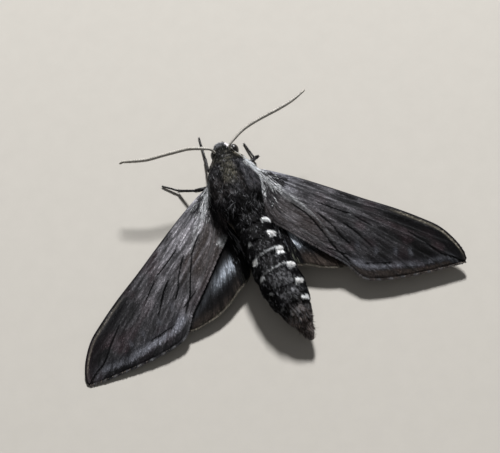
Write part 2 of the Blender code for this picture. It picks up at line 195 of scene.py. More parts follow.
def unit(vectors):
    """Vectors of length one."""
    return vectors / np.maximum(np.linalg.norm(vectors, axis=1, keepdims=True), 1e-9)


def rolled(point):
    """A point of the upright body, turned by the body's roll."""
    pivot = Vector((0.0, 0.0, ROLL_AXIS_HEIGHT))
    return Matrix.Rotation(BODY_ROLL, 3, "Y") @ (Vector(point) - pivot) + pivot


EYE_LOW, EYE_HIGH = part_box("eye_left")
SHIFT = np.array((EYE_LOW + EYE_HIGH) / 2 / MM - rolled(EYE_CENTRES[1]))


# ---------------------------------------------------------------- sizes and colours a user may change

def length_field(name, description, millimetres):
    """A length that a user may change."""
    return FloatProperty(name=name, description=description, default=millimetres * MM, min=0.0,
                         unit="LENGTH", subtype="DISTANCE", precision=5)


def colour_field(name, description, code):
    """A colour that a user may change."""
    return FloatVectorProperty(name=name, description=description, size=3, min=0.0, max=1.0,
                               default=tuple(linear(code)), subtype="COLOR")


class MothCoatSettings(bpy.types.PropertyGroup):
    """Depth, thickness and fineness of the body's coat."""
    depth: length_field("Coat depth", "How far the skin lies inside the coat's tips", 0.4)
    skin_cell: length_field("Skin cell", "Cell of the skin's mesh", 0.22)
    hair_width: length_field("Hair width", "Widest part of a tuft of hair scales", 0.16)
    density: FloatProperty(name="Density", description="Share of the full number of tufts", default=1.0,
                           min=0.05, max=1.0, subtype="FACTOR")
    seed: IntProperty(name="Seed", description="Start of the random draws", default=11, min=0)


class MothWingSettings(bpy.types.PropertyGroup):
    """Thickness and scales of the wings."""
    thickness: length_field("Thickness", "Thickness of a wing's middle", 0.26)
    vein_height: length_field("Vein height", "Rise of a vein over the membrane", 0.075)
    fringe: length_field("Fringe", "Length of the fringe at the rear edges", 0.55)
    scale_length: length_field("Scale length", "Length of a vane of scales", 0.6)
    scale_width: length_field("Scale width", "Width of a vane of scales", 0.2)
    density: FloatProperty(name="Density", description="Vanes in each square millimetre", default=15.0,
                           min=1.0, max=20.0)


class MothHornSettings(bpy.types.PropertyGroup):
    """Eyes, feelers and legs."""
    eye_colour: colour_field("Eye", "Colour of the eyes", "#15100e")
    feeler_top: colour_field("Feeler scales", "Colour of the scales over a feeler", "#bcb8b0")
    feeler_under: colour_field("Feeler underside", "Colour of a feeler's bare underside", "#3f3027")
    leg_colour: colour_field("Legs", "Colour of the legs' scales", "#151314")
    feeler_joints: IntProperty(name="Feeler joints", description="Rings of each feeler", default=58, min=8)


class MothStageSettings(bpy.types.PropertyGroup):
    """Floor, light and camera."""
    floor_colour: colour_field("Floor", "Colour of the floor", "#b8b4ad")
    floor_radius: FloatProperty(name="Floor radius", description="Radius of the floor", default=2.5,
                                unit="LENGTH", subtype="DISTANCE")
    key_power: FloatProperty(name="Key light", description="Power of the main light", default=29.0,
                             unit="POWER")
    fill_power: FloatProperty(name="Fill light", description="Power of the light across from it",
                              default=0.25, unit="POWER")
    sky: FloatProperty(name="Room light", description="Brightness of the room all round", default=0.13)


# ---------------------------------------------------------------- materials

def add_node(tree, kind, values=None, links=None, **settings):
    """Add a node with its settings, socket values and links."""
    node = tree.nodes.new(kind)
    for name, value in settings.items():
        setattr(node, name, value)
    for socket, value in (values or {}).items():
        node.inputs[socket].default_value = value
    for socket, source in (links or {}).items():
        tree.links.new(source, node.inputs[socket])
    return node


def new_material(name, **sockets):
    """A Principled material with its constant values set on the shader's own sockets."""
    material = bpy.data.materials.new(name)
    material.use_nodes = True
    tree = material.node_tree
    shader = tree.nodes["Principled BSDF"]
    for socket, value in sockets.items():
        shader.inputs[socket.replace("_", " ")].default_value = value
    return material, tree, shader


def speckled(tree, colour, coordinates, scale, low, high):
    """A colour darkened and lightened by noise on some coordinates, and that noise."""
    noise = add_node(tree, "ShaderNodeTexNoise", {"Scale": scale, "Detail": 3.0, "Roughness": 0.6},
                     {"Vector": coordinates})
    share = add_node(tree, "ShaderNodeMapRange", {"To Min": low, "To Max": high, "From Min": 0.3,
                                                  "From Max": 0.7}, {"Value": noise.outputs["Fac"]})
    product = add_node(tree, "ShaderNodeVectorMath", None, {0: colour}, operation="SCALE")
    tree.links.new(share.outputs["Result"], product.inputs["Scale"])
    return product.outputs["Vector"], noise.outputs["Fac"]


def object_place(tree):
    """Coordinates fixed to a piece, in metres."""
    return add_node(tree, "ShaderNodeTexCoord").outputs["Object"]


def coat_colour(tree):
    """The colour kept at each point of a piece."""
    return add_node(tree, "ShaderNodeAttribute", attribute_name="coat").outputs["Color"]


def plain_colour(tree, colour):
    """One colour all over."""
    base = add_node(tree, "ShaderNodeRGB")
    base.outputs[0].default_value = (*colour, 1.0)
    return base.outputs[0]


def join_bump(tree, shader, height, strength, distance, **settings):
    """Give a shader a bump of some height over a distance in metres."""
    bump = add_node(tree, "ShaderNodeBump", {"Strength": strength, "Distance": distance},
                    {"Height": height}, **settings)
    tree.links.new(bump.outputs["Normal"], shader.inputs["Normal"])


def grown_material(name, scale, low, high, relief=None, **sockets):
    """A material with a piece's own colours, speckled by noise that may also give it relief."""
    material, tree, shader = new_material(name, **sockets)
    shade, noise = speckled(tree, coat_colour(tree), object_place(tree), scale, low, high)
    tree.links.new(shade, shader.inputs["Base Color"])
    if relief:
        join_bump(tree, shader, noise, *relief)
    return material


def hair_scale_material():
    """Hair scales of a moth's body: ribbed slips of chitin, so close that they look matt."""
    return grown_material("body hair scales, grown", 2600.0, 0.78, 1.2, Roughness=0.62, IOR=1.5,
                          Specular_IOR_Level=0.08)


def skin_material():
    """Skin under the coat: soft chitin packed with the sockets and stumps of hair scales, so it is matt."""
    # Scale roots are 0.03 mm apart and are drawn at 0.2 mm, so that they show
    return grown_material("skin of packed scale roots, grown", 5000.0, 0.5, 1.3, (0.6, 0.0001),
                          Roughness=0.8, IOR=1.5, Specular_IOR_Level=0.05)


def membrane_material():
    """Wing membrane under flat-lying scales: overlapping rows that give a fine grain along the wing."""
    material, tree, shader = new_material("wing of flat scales, grown", Roughness=0.6, IOR=1.5,
                                          Specular_IOR_Level=0.08)
    flow = add_node(tree, "ShaderNodeUVMap", uv_map="flow")
    # Rows of scales are 0.1 mm apart and are drawn about 0.2 mm apart, so that they show
    rows = add_node(tree, "ShaderNodeMapping", {"Scale": (34.0, 95.0, 1.0)}, {"Vector": flow.outputs["UV"]})
    shade, noise = speckled(tree, coat_colour(tree), rows.outputs["Vector"], 1.0, 0.7, 1.3)
    tree.links.new(shade, shader.inputs["Base Color"])
    join_bump(tree, shader, noise, 0.5, 0.00006)
    return material


def scale_material():
    """Wing scales: thin ribbed plates of chitin, nearly matt."""
    return grown_material("wing scales, grown", 3200.0, 0.82, 1.16, Roughness=0.55, IOR=1.5,
                          Specular_IOR_Level=0.08)


def eye_material(colour):
    """Compound eye: smooth lenses of clear chitin over dark pigment, so it is black with a soft gloss."""
    material, tree, shader = new_material("compound eye of chitin lenses, grown", Roughness=0.32, IOR=1.5,
                                          Coat_Weight=0.12, Coat_Roughness=0.2)
    place = object_place(tree)
    shade, _noise = speckled(tree, plain_colour(tree, colour), place, 900.0, 0.6, 1.7)
    tree.links.new(shade, shader.inputs["Base Color"])
    # Lenses are 0.03 mm across and are drawn at 0.12 mm, so that they show
    lenses = add_node(tree, "ShaderNodeTexVoronoi", {"Scale": 8300.0}, {"Vector": place})
    join_bump(tree, shader, lenses.outputs["Distance"], 0.35, 0.00003, invert=True)
    return material


def horn_material(name, roughness):
    """Bare chitin of legs and feelers: hard, thin-walled horn with a satin surface under stray scales."""
    return grown_material(name, 4200.0, 0.7, 1.25, (0.4, 0.00004), Roughness=roughness, IOR=1.55,
                          Specular_IOR_Level=0.4)


def floor_material(colour):
    """Studio floor: matt painted board, with the faint mottle that a roller leaves."""
    material, tree, shader = new_material("matt painted board, rolled", Roughness=0.85)
    shade, noise = speckled(tree, plain_colour(tree, colour), object_place(tree), 260.0, 0.985, 1.015)
    tree.links.new(shade, shader.inputs["Base Color"])
    join_bump(tree, shader, noise, 0.1, 0.0001)
    return material


# ---------------------------------------------------------------- meshes

def add_piece(name, data, material, nodes=(), smooth=True):
    """Link a mesh whose place is in its points, and say what it rides on, its finish and its solids."""
    data.materials.append(material)
    if smooth:
        data.shade_smooth()
    else:
        data.shade_flat()
    piece = bpy.data.objects.new(name, data)
    bpy.context.scene.collection.objects.link(piece)
    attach(piece, BODY)
    if nodes:
        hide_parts(*nodes)
    return piece


def points_of(data):
    """A mesh's points as rows."""
    flat = np.empty(len(data.vertices) * 3, np.float32)
    data.vertices.foreach_get("co", flat)
    return flat.reshape(-1, 3).astype(float)


def placed_points(data):
    """A mesh's points as rows in the moth's own frame."""
    return points_of(data) / MM - SHIFT


def normals_of(data):
    """A mesh's smooth normals, point by point."""
    flat = np.empty(len(data.vertices) * 3, np.float32)
    data.vertex_normals.foreach_get("vector", flat)
    return flat.reshape(-1, 3).astype(float)


def set_points(data, points):
    """Put a mesh's points at places given in the moth's own frame."""
    data.vertices.foreach_set("co", ((points + SHIFT) * MM).astype(np.float32).ravel())
    data.update()


def set_colours(data, colours):
    """Keep a colour for each point."""
    shade = np.ones((len(data.vertices), 4), np.float32)
    shade[:, :3] = np.clip(colours, 0.0, 1.0)
    data.color_attributes.new("coat", "FLOAT_COLOR", "POINT").data.foreach_set("color", shade.ravel())


def set_map(data, name, places):
    """Lay a map whose corners take the places of their points."""
    corners = np.empty(len(data.loops), np.int32)
    data.loops.foreach_get("vertex_index", corners)
    layer = data.uv_layers.new(name=name)
    layer.uv.foreach_set("vector", places[corners].astype(np.float32).ravel())


def node_points(node):
    """A solid's corners in the moth's own frame."""
    return placed_points(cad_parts[node].data)


def loft(mesh, stations, sides):
    """Add a closed skin over rings, each its centre, heading, up, half width and half height."""
    rims = []
    start = len(mesh.faces)
    for number, (centre, heading, up, half_width, half_height) in enumerate(stations):
        heading = Vector(heading).normalized()
        across = heading.cross(Vector(up)).normalized()
        rise = across.cross(heading)
        place = Matrix((across * half_width, rise * half_height, heading)).transposed().to_4x4()
        place.translation = centre
        capped = number in (0, len(stations) - 1)
        ring = bmesh.ops.create_circle(mesh, cap_ends=capped, segments=sides, radius=1.0, matrix=place)
        rims.append(list({edge for vert in ring["verts"] for edge in vert.link_edges}))
    for rim, following in zip(rims, rims[1:]):
        bmesh.ops.bridge_loops(mesh, edges=rim + following)
    mesh.faces.ensure_lookup_table()
    bmesh.ops.recalc_face_normals(mesh, faces=mesh.faces[start:])


def to_data(mesh, name):
    """Mesh data from a bmesh."""
    data = bpy.data.meshes.new(name)
    mesh.to_mesh(data)
    mesh.free()
    return data


def path_points(path, parts):
    """Points and headings along a smooth path, at parts of its length in points."""
    rows = [(number, *point) for number, point in enumerate(path)]
    at = np.asarray(parts) * (len(path) - 1)
    step = 0.02 * (len(path) - 1)
    behind, places, ahead = (np.stack([curve(rows, at + move, column) for column in (1, 2, 3)], 1)
                             for move in (-step, 0.0, step))
    return places, unit(ahead - behind)


# ---------------------------------------------------------------- tufts

def blade_template(rings):
    """A thin closed blade with a ridged back: its points as across, thick and along, and its faces.

    rings are pairs of a part of the length and the width there, and the last one is the tip."""
    mesh = bmesh.new()
    bmesh.ops.create_circle(mesh, cap_ends=True, segments=3, radius=1.0)
    face = list(mesh.faces)[0]
    for number in range(1, len(rings)):
        grown = bmesh.ops.extrude_face_region(mesh, geom=[face], use_keep_orig=number == 1)
        face = next(item for item in grown["geom"] if isinstance(item, bmesh.types.BMFace))
        bmesh.ops.translate(mesh, vec=(0.0, 0.0, 1.0), verts=face.verts)
    bmesh.ops.pointmerge(mesh, verts=list(face.verts), merge_co=(0.0, 0.0, len(rings) - 1.0))
    bmesh.ops.recalc_face_normals(mesh, faces=mesh.faces)
    mesh.verts.index_update()
    levels = np.array(rings)
    points = np.array([vert.co[:] for vert in mesh.verts])
    ring = np.round(points[:, 2]).astype(int)
    points[:, :2] *= levels[ring, 1][:, None]
    points[:, 2] = levels[ring, 0]
    # The circle's first corner points across, so it is turned until that corner is the ridge
    points[:, :2] = np.stack([-points[:, 1], points[:, 0]], 1)
    faces = [[vert.index for vert in face.verts] for face in mesh.faces]
    mesh.free()
    return points, faces


HAIR = blade_template(((0.0, 0.55), (0.38, 1.0), (0.74, 0.72), (1.0, 0.0)))
SHORT_HAIR = blade_template(((0.0, 0.7), (0.5, 1.0), (1.0, 0.0)))
VANE = blade_template(((0.0, 0.45), (0.72, 1.0), (1.0, 0.0)))


def grow(name, tufts, template, material):
    """Join many blades into one mesh.

    tufts holds an array for each of root, normal, flow, length, width, flat, lift, droop, bend,
    base (colour at the root), tip (colour at the end) and map (place on the bake map)."""
    shape, faces = template
    across, thick, along = shape.T
    normal = unit(tufts["normal"])
    flow = tufts["flow"]
    flow = unit(flow - (flow * normal).sum(1, keepdims=True) * normal)
    side = np.cross(flow, normal)
    length, width = tufts["length"][:, None], tufts["width"][:, None] / 2
    lift, bend = tufts["lift"][:, None], tufts["bend"][:, None]
    reach = length * along * np.cos(lift)
    height = length * (along * np.sin(lift) - tufts["droop"][:, None] * along ** 2)
    height = height + width * tufts["flat"][:, None] * thick - tufts["sink"][:, None]
    sideways = width * across + length * bend * along ** 2
    points = tufts["root"][:, None, :] + flow[:, None, :] * reach[..., None]
    points = points + normal[:, None, :] * height[..., None] + side[:, None, :] * sideways[..., None]
    points[..., 2] = np.maximum(points[..., 2], 0.0)
    count, size = len(length), len(shape)
    starts = np.arange(count)[:, None] * size
    corners = np.concatenate(faces)
    sizes = np.array([len(face) for face in faces])
    data = bpy.data.meshes.new(name)
    data.vertices.add(count * size)
    data.loops.add(count * len(corners))
    data.polygons.add(count * len(sizes))
    data.loops.foreach_set("vertex_index", (starts + corners).astype(np.int32).ravel())
    ends = np.cumsum(np.tile(sizes, count))
    data.polygons.foreach_set("loop_start", np.concatenate([[0], ends[:-1]]).astype(np.int32))
    set_points(data, points.reshape(-1, 3))
    data.update(calc_edges=True)
    tone = along[None, :, None] ** 0.8
    colours = tufts["base"][:, None, :] * (1 - tone) + tufts["tip"][:, None, :] * tone
    set_colours(data, colours.reshape(-1, 3))
    patch = np.stack([across * 0.5, along - 0.5], 1) * PATCH
    set_map(data, BAKE_MAP, (tufts["map"][:, None, :] + patch[None]).reshape(-1, 2))
    return add_piece(name, data, material, smooth=False)


def turned(flow, normal, degrees):
    """Directions turned about their normals."""
    angle = np.radians(degrees)[:, None]
    normal = unit(normal)
    return flow * np.cos(angle) + np.cross(normal, flow) * np.sin(angle)


def together(groups):
    """Several groups of tufts as one."""
    return {key: np.concatenate([group[key] for group in groups]) for key in groups[0]}


# ---------------------------------------------------------------- trunk

def trunk_place(points):
    """Distance along the trunk, angle from the middle of the back in degrees, left positive, and radius."""
    along = points[:, 1]
    offset_x = points[:, 0] - curve(CENTRELINE, along, 1)
    offset_z = points[:, 2] - curve(CENTRELINE, along, 2)
    lateral = offset_x * math.cos(BODY_ROLL) - offset_z * math.sin(BODY_ROLL)
    rise = offset_x * math.sin(BODY_ROLL) + offset_z * math.cos(BODY_ROLL)
    return along, np.degrees(np.arctan2(lateral, rise)), np.hypot(lateral, rise)


def trunk_heading(along):
    """Direction of the trunk's middle line, towards the tail."""
    step = 0.4
    rise = [curve(CENTRELINE, along + step, column) - curve(CENTRELINE, along - step, column)
            for column in (1, 2)]
    return unit(np.stack([rise[0], np.full(len(along), 2 * step), rise[1]], 1))


# White spots behind the abdomen's joints, from the first: inner and outer angle, length and strength
SPOTS = {
    # The left spots' lower strengths are partly painted shade on that flank
    "left": ((40.0, 55.0, 0.7, 0.1), (37.0, 49.0, 1.0, 0.6), (40.0, 62.0, 1.4, 0.95),
             (42.0, 62.0, 1.1, 0.75), (43.0, 56.0, 0.7, 0.5), (44.0, 56.0, 0.6, 0.25)),
    "right": ((35.0, 96.0, 1.3, 0.92), (34.0, 67.0, 1.5, 1.0), (31.0, 61.0, 1.8, 1.0),
              (42.0, 74.0, 1.5, 1.0), (39.0, 75.0, 1.3, 0.96), (38.0, 72.0, 0.9, 0.92)),
}
TAIL_BROWN_START = 21.0
JOINT_SLANT = 0.15            # the rings' markings lie further back on the moth's left
WHITE_TUFT = (-1.35, -14.35, 9.6)  # at the right feeler's root
# The pale line from that feeler's root over the eye to the white flank
BROW_PATH = ((-1.7, -14.1, 9.5), (-1.9, -13.62, 9.5), (-2.23, -12.96, 9.5), (-2.64, -12.18, 9.9),
             (-3.3, -11.16, 10.1), (-4.1, -10.6, 9.4))
# Distance along the trunk with the angle from the back where that line lies and the white flank starts
BROW_LINE = ((-14.3, 50.0), (-13.6, 53.0), (-13.0, 56.0), (-12.2, 55.0), (-11.2, 56.0), (-10.5, 64.0))
FLANK_LINE = ((-11.2, 78.0), (-10.5, 65.0), (-9.0, 50.0), (-7.7, 50.0), (-6.3, 57.0), (-5.2, 67.0))
# Distance along the trunk, with the start of each dark arc's middle and its strength
HEAD_ARCS = ((-13.8, 0.95), (-13.2, 0.8), (-12.3, 0.9), (-11.4, 0.8), (THORAX_START + 0.3, 0.9))
TRUNK_TONES = ((-16.3, 1.6), (-14.4, 1.4), (-13.9, 0.65), (-11.0, 0.5), (-6.0, 0.45), (-1.5, 0.3),
               (1.0, 0.24), (8.0, 0.26), (12.0, 0.42), (16.0, 0.6), (20.0, 0.8), (25.0, 0.95), (30.0, 0.8))


def trunk_ground(along, angle, arc, fleck):
    """Mottled grey of the coat, olive along the middle of the thorax and brown at the tail."""
    olive = within(along, -10.5, -5.5, 1.3) * within(angle, -17, 24, 9)
    olive = olive + within(along, -14.5, -10.6, 0.6) * 0.6
    colours = painted(
        np.tile(CHARCOAL * 0.62, (len(along), 1)),
        (CHARCOAL * 1.15, within(along, THORAX_START - 3.0, -2.0, 0.8)),
        (OLIVE * 1.5, olive * 0.85),
        (BROWN * 1.1, within(along, -7.0, -2.5, 1.0) * within(np.abs(angle), 18, 60, 8) * 0.4),
        (ASH * 0.64, within(along, -17, -14.2, 0.3) * 0.9),
        (SOOT, within(along, -2.2, 9.0, 1.3) * 0.8),
        (ASH * 0.42, ramp(along, 9.0, 20.0) * 0.4),
        (BROWN * 1.7, ramp(along, TAIL_BROWN_START, 26.0) * 0.6),
    )
    velvet = within(along, -15.0, -9.0, 1.5)
    face = 1 - ramp(along, -14.7, -14.1)
    patch = grain(arc / 1.3 + 31, along / 1.5 + 40, 8)
    contrast = 4.0 + 0.6 * ramp(along, 0.0, 3.0) - 0.8 * olive - 1.0 * velvet - 1.6 * face
    mottle = np.exp(contrast * (fleck - 0.5) + (1.3 - 1.1 * face) * (patch - 0.5))
    colours = colours * (curve(TRUNK_TONES, along) * mottle)[:, None]
    return tinted(colours, ASH * 0.6, ramp(fleck, 0.62, 0.8) * (0.06 + 0.16 * ramp(along, 8.0, 14.0)))


def dark_marks_and_flank_shade(along, angle):
    """Arcs across the back of the head and the collar, dark lines round the shoulder flaps, and painted
    shade over the thorax's left flank.
    """
    side, left = np.abs(angle), 1 - ramp(-angle, 0.0, 10.0)
    bow = 0.7 * (1 - np.cos(np.radians(angle)))
    flap = 29.0 + 9.0 * ramp(along, -4.0, 0.0) + 3.0 * ramp(-along, 7.0, 10.5)
    line = bell(side, flap, 3.4) * within(along, -9.2, -0.8, 0.8)
    return [(SOOT * 0.6, bell(along, place + bow, 0.2) * strength) for place, strength in HEAD_ARCS] + [
        (SOOT * 0.4, line * 0.85),
        # painted shade: the left flank of the thorax is darkened as if in shadow
        (SOOT * 0.6, left * within(side, 40, 100, 12) * within(along, -12, 1, 1) * 0.4),
    ]


def pale_marks(points, along, angle, fleck):
    """White flank on the right above the wing, the pale line from there to the feeler, and its tuft."""
    side, right = np.abs(angle), ramp(-angle, 0.0, 10.0)
    slate = right * within(side, 66, 104, 7) * within(along, -5.6, -1.4, 0.5)
    slate = slate + right * within(side, 34, 62, 8) * within(along, -9.5, -3.0, 1.0) * 0.45
    stripe = right * within(side, curve(FLANK_LINE, along), 125, 5) * within(along, -11.0, -5.6, 0.35)
    brow = bell(side, curve(BROW_LINE, along), 4.5) * within(along, -14.1, -10.4, 0.3)
    left_patch = (1 - right) * within(side, 62, 105, 6) * within(along, -7.7, -6.0, 0.35)
    notch = right * within(side, 36, 48, 3) * within(along, -0.6, 0.5, 0.3)
    gap = np.linalg.norm(points - np.array(WHITE_TUFT), axis=1)
    return [
        (SLATE * 0.55, slate * 0.8),
        (WHITE * 0.95, stripe * (0.8 + 0.2 * ramp(fleck, 0.3, 0.6))),
        (BUFF * 1.15, brow * (0.15 + 0.85 * right)),
        (WHITE * 0.6, left_patch * 0.7),
        (ASH * 0.7, notch * 0.7),
        (SOOT * 0.5, bell(gap, 1.3, 0.3) * ramp(along, -14.8, -14.2) * 0.8),
        (WHITE * 0.9, 1 - ramp(gap, 0.45, 0.75)),
    ]


def abdomen_marks(along, angle, arc):
    """Black bars and white spots along the abdomen, pale lines across two joints, and a paler belly."""
    side, right = np.abs(angle), ramp(-angle, 0.0, 10.0)
    bars = within(side, 34, 100, 3) * ramp(along, 2.6, 4.0) * (1 - ramp(along, 23.5, 26))
    joint = within(side, 38, 100, 8) * within(along, WAIST - 0.6, 3.2, 0.7)
    layers = [(SOOT * 0.35, bars * 0.95), (SOOT * 0.3, joint * 0.85)]
    for start in SEGMENT_ENDS[1:]:
        layers.append((SOOT * 0.4, bell(along, start - 0.2, 0.3) * (1 - ramp(side, 90, 110)) * 0.5))
    ragged = 9.0 * (grain(arc / 0.5 + 7, along / 0.5 + 33, 12) - 0.5)
    for name, rows in SPOTS.items():
        here = right if name == "right" else 1 - right
        for start, (low, high, length, strength) in zip(SEGMENT_ENDS[1:], rows):
            narrow = 0.12 * (side + ragged - low) / (high - low)
            first, last = start + 0.05 + narrow, start + length - narrow
            spot = within(side + ragged, low, high, 3.0) * within(along + 0.03 * ragged, first, last, 0.16)
            layers.append((WHITE * 1.12, spot * strength * here))
    for start in (SEGMENT_ENDS[3], SEGMENT_ENDS[4]):
        layers.append((WHITE * 0.5, bell(along, start + 0.15, 0.17) * (1 - ramp(side, 38, 46))))
    return layers + [(linear("#6e655e"), ramp(side, 112, 135) * 0.9)]


def trunk_pattern(points):
    """Colour of the coat at places on the trunk, and how pale its tips are."""
    along, angle, _radius = trunk_place(points)
    arc = np.radians(angle) * TRUNK_RADIUS
    along = along - JOINT_SLANT * ramp(along, WAIST, 5.0) * TRUNK_RADIUS * np.sin(np.radians(angle))
    fleck = grain(arc / 0.42 + 31, along / 0.5 + 40, 3) * 0.6
    fleck = fleck + grain(arc / 0.26 + 9, along / 0.3 + 80, 4) * 0.4
    colours = painted(trunk_ground(along, angle, arc, fleck), *dark_marks_and_flank_shade(along, angle),
                      *pale_marks(points, along, angle, fleck), *abdomen_marks(along, angle, arc))
    return colours, fleck


def node_hull(node, grown):
    """A solid's hull, which fills its sockets, a little larger all round."""
    mesh = bmesh.new()
    mesh.from_mesh(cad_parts[node].data)
    bmesh.ops.delete(mesh, geom=list(mesh.edges), context="EDGES_FACES")
    bmesh.ops.remove_doubles(mesh, verts=mesh.verts, dist=MM * 0.01)
    hull = bmesh.ops.convex_hull(mesh, input=mesh.verts)
    inside = {item for item in hull["geom_interior"] + hull["geom_unused"]
              if isinstance(item, bmesh.types.BMVert)}
    bmesh.ops.delete(mesh, geom=list(inside), context="VERTS")
    bmesh.ops.recalc_face_normals(mesh, faces=mesh.faces)
    mesh.normal_update()
    for vert in mesh.verts:
        vert.co += vert.normal * grown
    return mesh


SKIN_OVERLAP = 0.15           # the solids grow by this, so that they meet as one skin
SKIN_SMOOTHING = 7            # passes
SEGMENT_STEP = 0.22           # each ring of the abdomen stands over the next by this
# Distance along the trunk, with the skin's depth under the solids as a share of its setting
DEPTH_SHARES = ((-16.2, 0.9), (-14.5, 0.8), (-12.0, 0.9), (-8.0, 1.0), (-1.0, 1.0), (2.0, 0.7),
                (20.0, 0.62), (25.0, 0.8), (28.0, 1.2), (30.0, 1.5))


def make_skin(settings):
    """One skin over all the flesh, inside the coat."""
    joined = bmesh.new()
    for node in FLESH:
        hull = to_data(node_hull(node, SKIN_OVERLAP * MM), node)
        joined.from_mesh(hull)
        bpy.data.meshes.remove(hull)
    rough = bpy.data.objects.new("rough_skin", to_data(joined, "rough_skin"))
    bpy.context.scene.collection.objects.link(rough)
    remesh = rough.modifiers.new("one skin", "REMESH")
    remesh.mode = "VOXEL"
    remesh.voxel_size = settings.skin_cell
    shown = rough.evaluated_get(bpy.context.evaluated_depsgraph_get())
    data = bpy.data.meshes.new_from_object(shown)
    bpy.data.objects.remove(rough)
    mesh = bmesh.new()
    mesh.from_mesh(data)
    for _pass in range(SKIN_SMOOTHING):
        bmesh.ops.smooth_vert(mesh, verts=mesh.verts, factor=0.5, use_axis_x=True, use_axis_y=True,
                              use_axis_z=True)
    bmesh.ops.recalc_face_normals(mesh, faces=mesh.faces)
    mesh.to_mesh(data)
    mesh.free()
    data.name = "body_skin"
    points = placed_points(data)
    along, _angle, _radius = trunk_place(points)
    depth = SKIN_OVERLAP + settings.depth / MM * curve(DEPTH_SHARES, along)
    for start, end in zip(SEGMENT_ENDS, SEGMENT_ENDS[1:]):
        part = (along - start) / (end - start)
        depth = depth + np.where((part >= 0) & (part < 1), SEGMENT_STEP * (0.5 - part), 0.0)
    set_points(data, points - normals_of(data) * depth[:, None])
    colours, _fleck = trunk_pattern(points)
    set_colours(data, colours * 0.5)
    return add_piece("body_skin", data, skin_material(), FLESH)


# Distance along the trunk, with the tufts' length, and their lift and scatter in degrees
LENGTHS = ((-16.3, 0.6), (-15.0, 0.55), (-13.5, 0.6), (-12.6, 0.7), (-11.0, 0.85), (-8.0, 1.1),
           (-4.0, 1.5), (-1.8, 2.2), (0.3, 2.3), (1.4, 1.25), (3.0, 1.0), (20.0, 1.0), (24.0, 1.25),
           (26.0, 2.0), (28.5, 2.3), (30.0, 1.6))
LIFTS = ((-16.3, 48.0), (-15.2, 42.0), (-14.0, 36.0), (-12.5, 34.0), (-10.0, 28.0), (-5.0, 25.0),
         (-2.0, 24.0), (0.5, 26.0), (1.8, 19.0), (20.0, 18.0), (24.0, 15.0), (27.0, 9.0), (30.0, 5.0))
SCATTERS = ((-16.3, 26.0), (-13.0, 14.0), (-9.0, 15.0), (-6.0, 22.0), (-3.0, 30.0), (0.0, 38.0),
            (1.5, 30.0), (4.0, 26.0), (24.0, 22.0), (30.0, 8.0))
# Name, start, end, tufts in each square millimetre and blade
COAT_LENGTHS = (
    ("coat_head", -17.0, NECK, 62.0, SHORT_HAIR),
    ("coat_collar", NECK, THORAX_START, 48.0, SHORT_HAIR),
    ("coat_thorax_front", THORAX_START, -5.0, 34.0, HAIR),
    ("coat_thorax_rear", -5.0, 1.2, 34.0, HAIR),
    ("coat_abdomen_front", 1.2, 9.2, 44.0, SHORT_HAIR),
    ("coat_abdomen_middle", 9.2, 17.4, 44.0, SHORT_HAIR),
    ("coat_abdomen_rear", 17.4, 24.8, 44.0, SHORT_HAIR),
    ("coat_tail", 24.8, 31.0, 55.0, HAIR),
)


def scattered(data, density, random):
    """Random places on a mesh, evenly spread: points in the moth's frame and smooth normals."""
    data.calc_loop_triangles()
    corners = np.empty(len(data.loop_triangles) * 3, np.int32)
    data.loop_triangles.foreach_get("vertices", corners)
    corners = corners.reshape(-1, 3)
    points, normals = placed_points(data), normals_of(data)
    edges = points[corners[:, 1:]] - points[corners[:, :1]]
    areas = np.linalg.norm(np.cross(edges[:, 0], edges[:, 1]), axis=1) / 2
    count = int(areas.sum() * density)
    found = random.choice(len(corners), count, p=areas / areas.sum())
    shares = random.random((count, 2))
    shares = np.where(shares.sum(1, keepdims=True) > 1, 1 - shares, shares)
    weights = np.concatenate([1 - shares.sum(1, keepdims=True), shares], 1)[..., None]
    return (points[corners[found]] * weights).sum(1), unit((normals[corners[found]] * weights).sum(1))


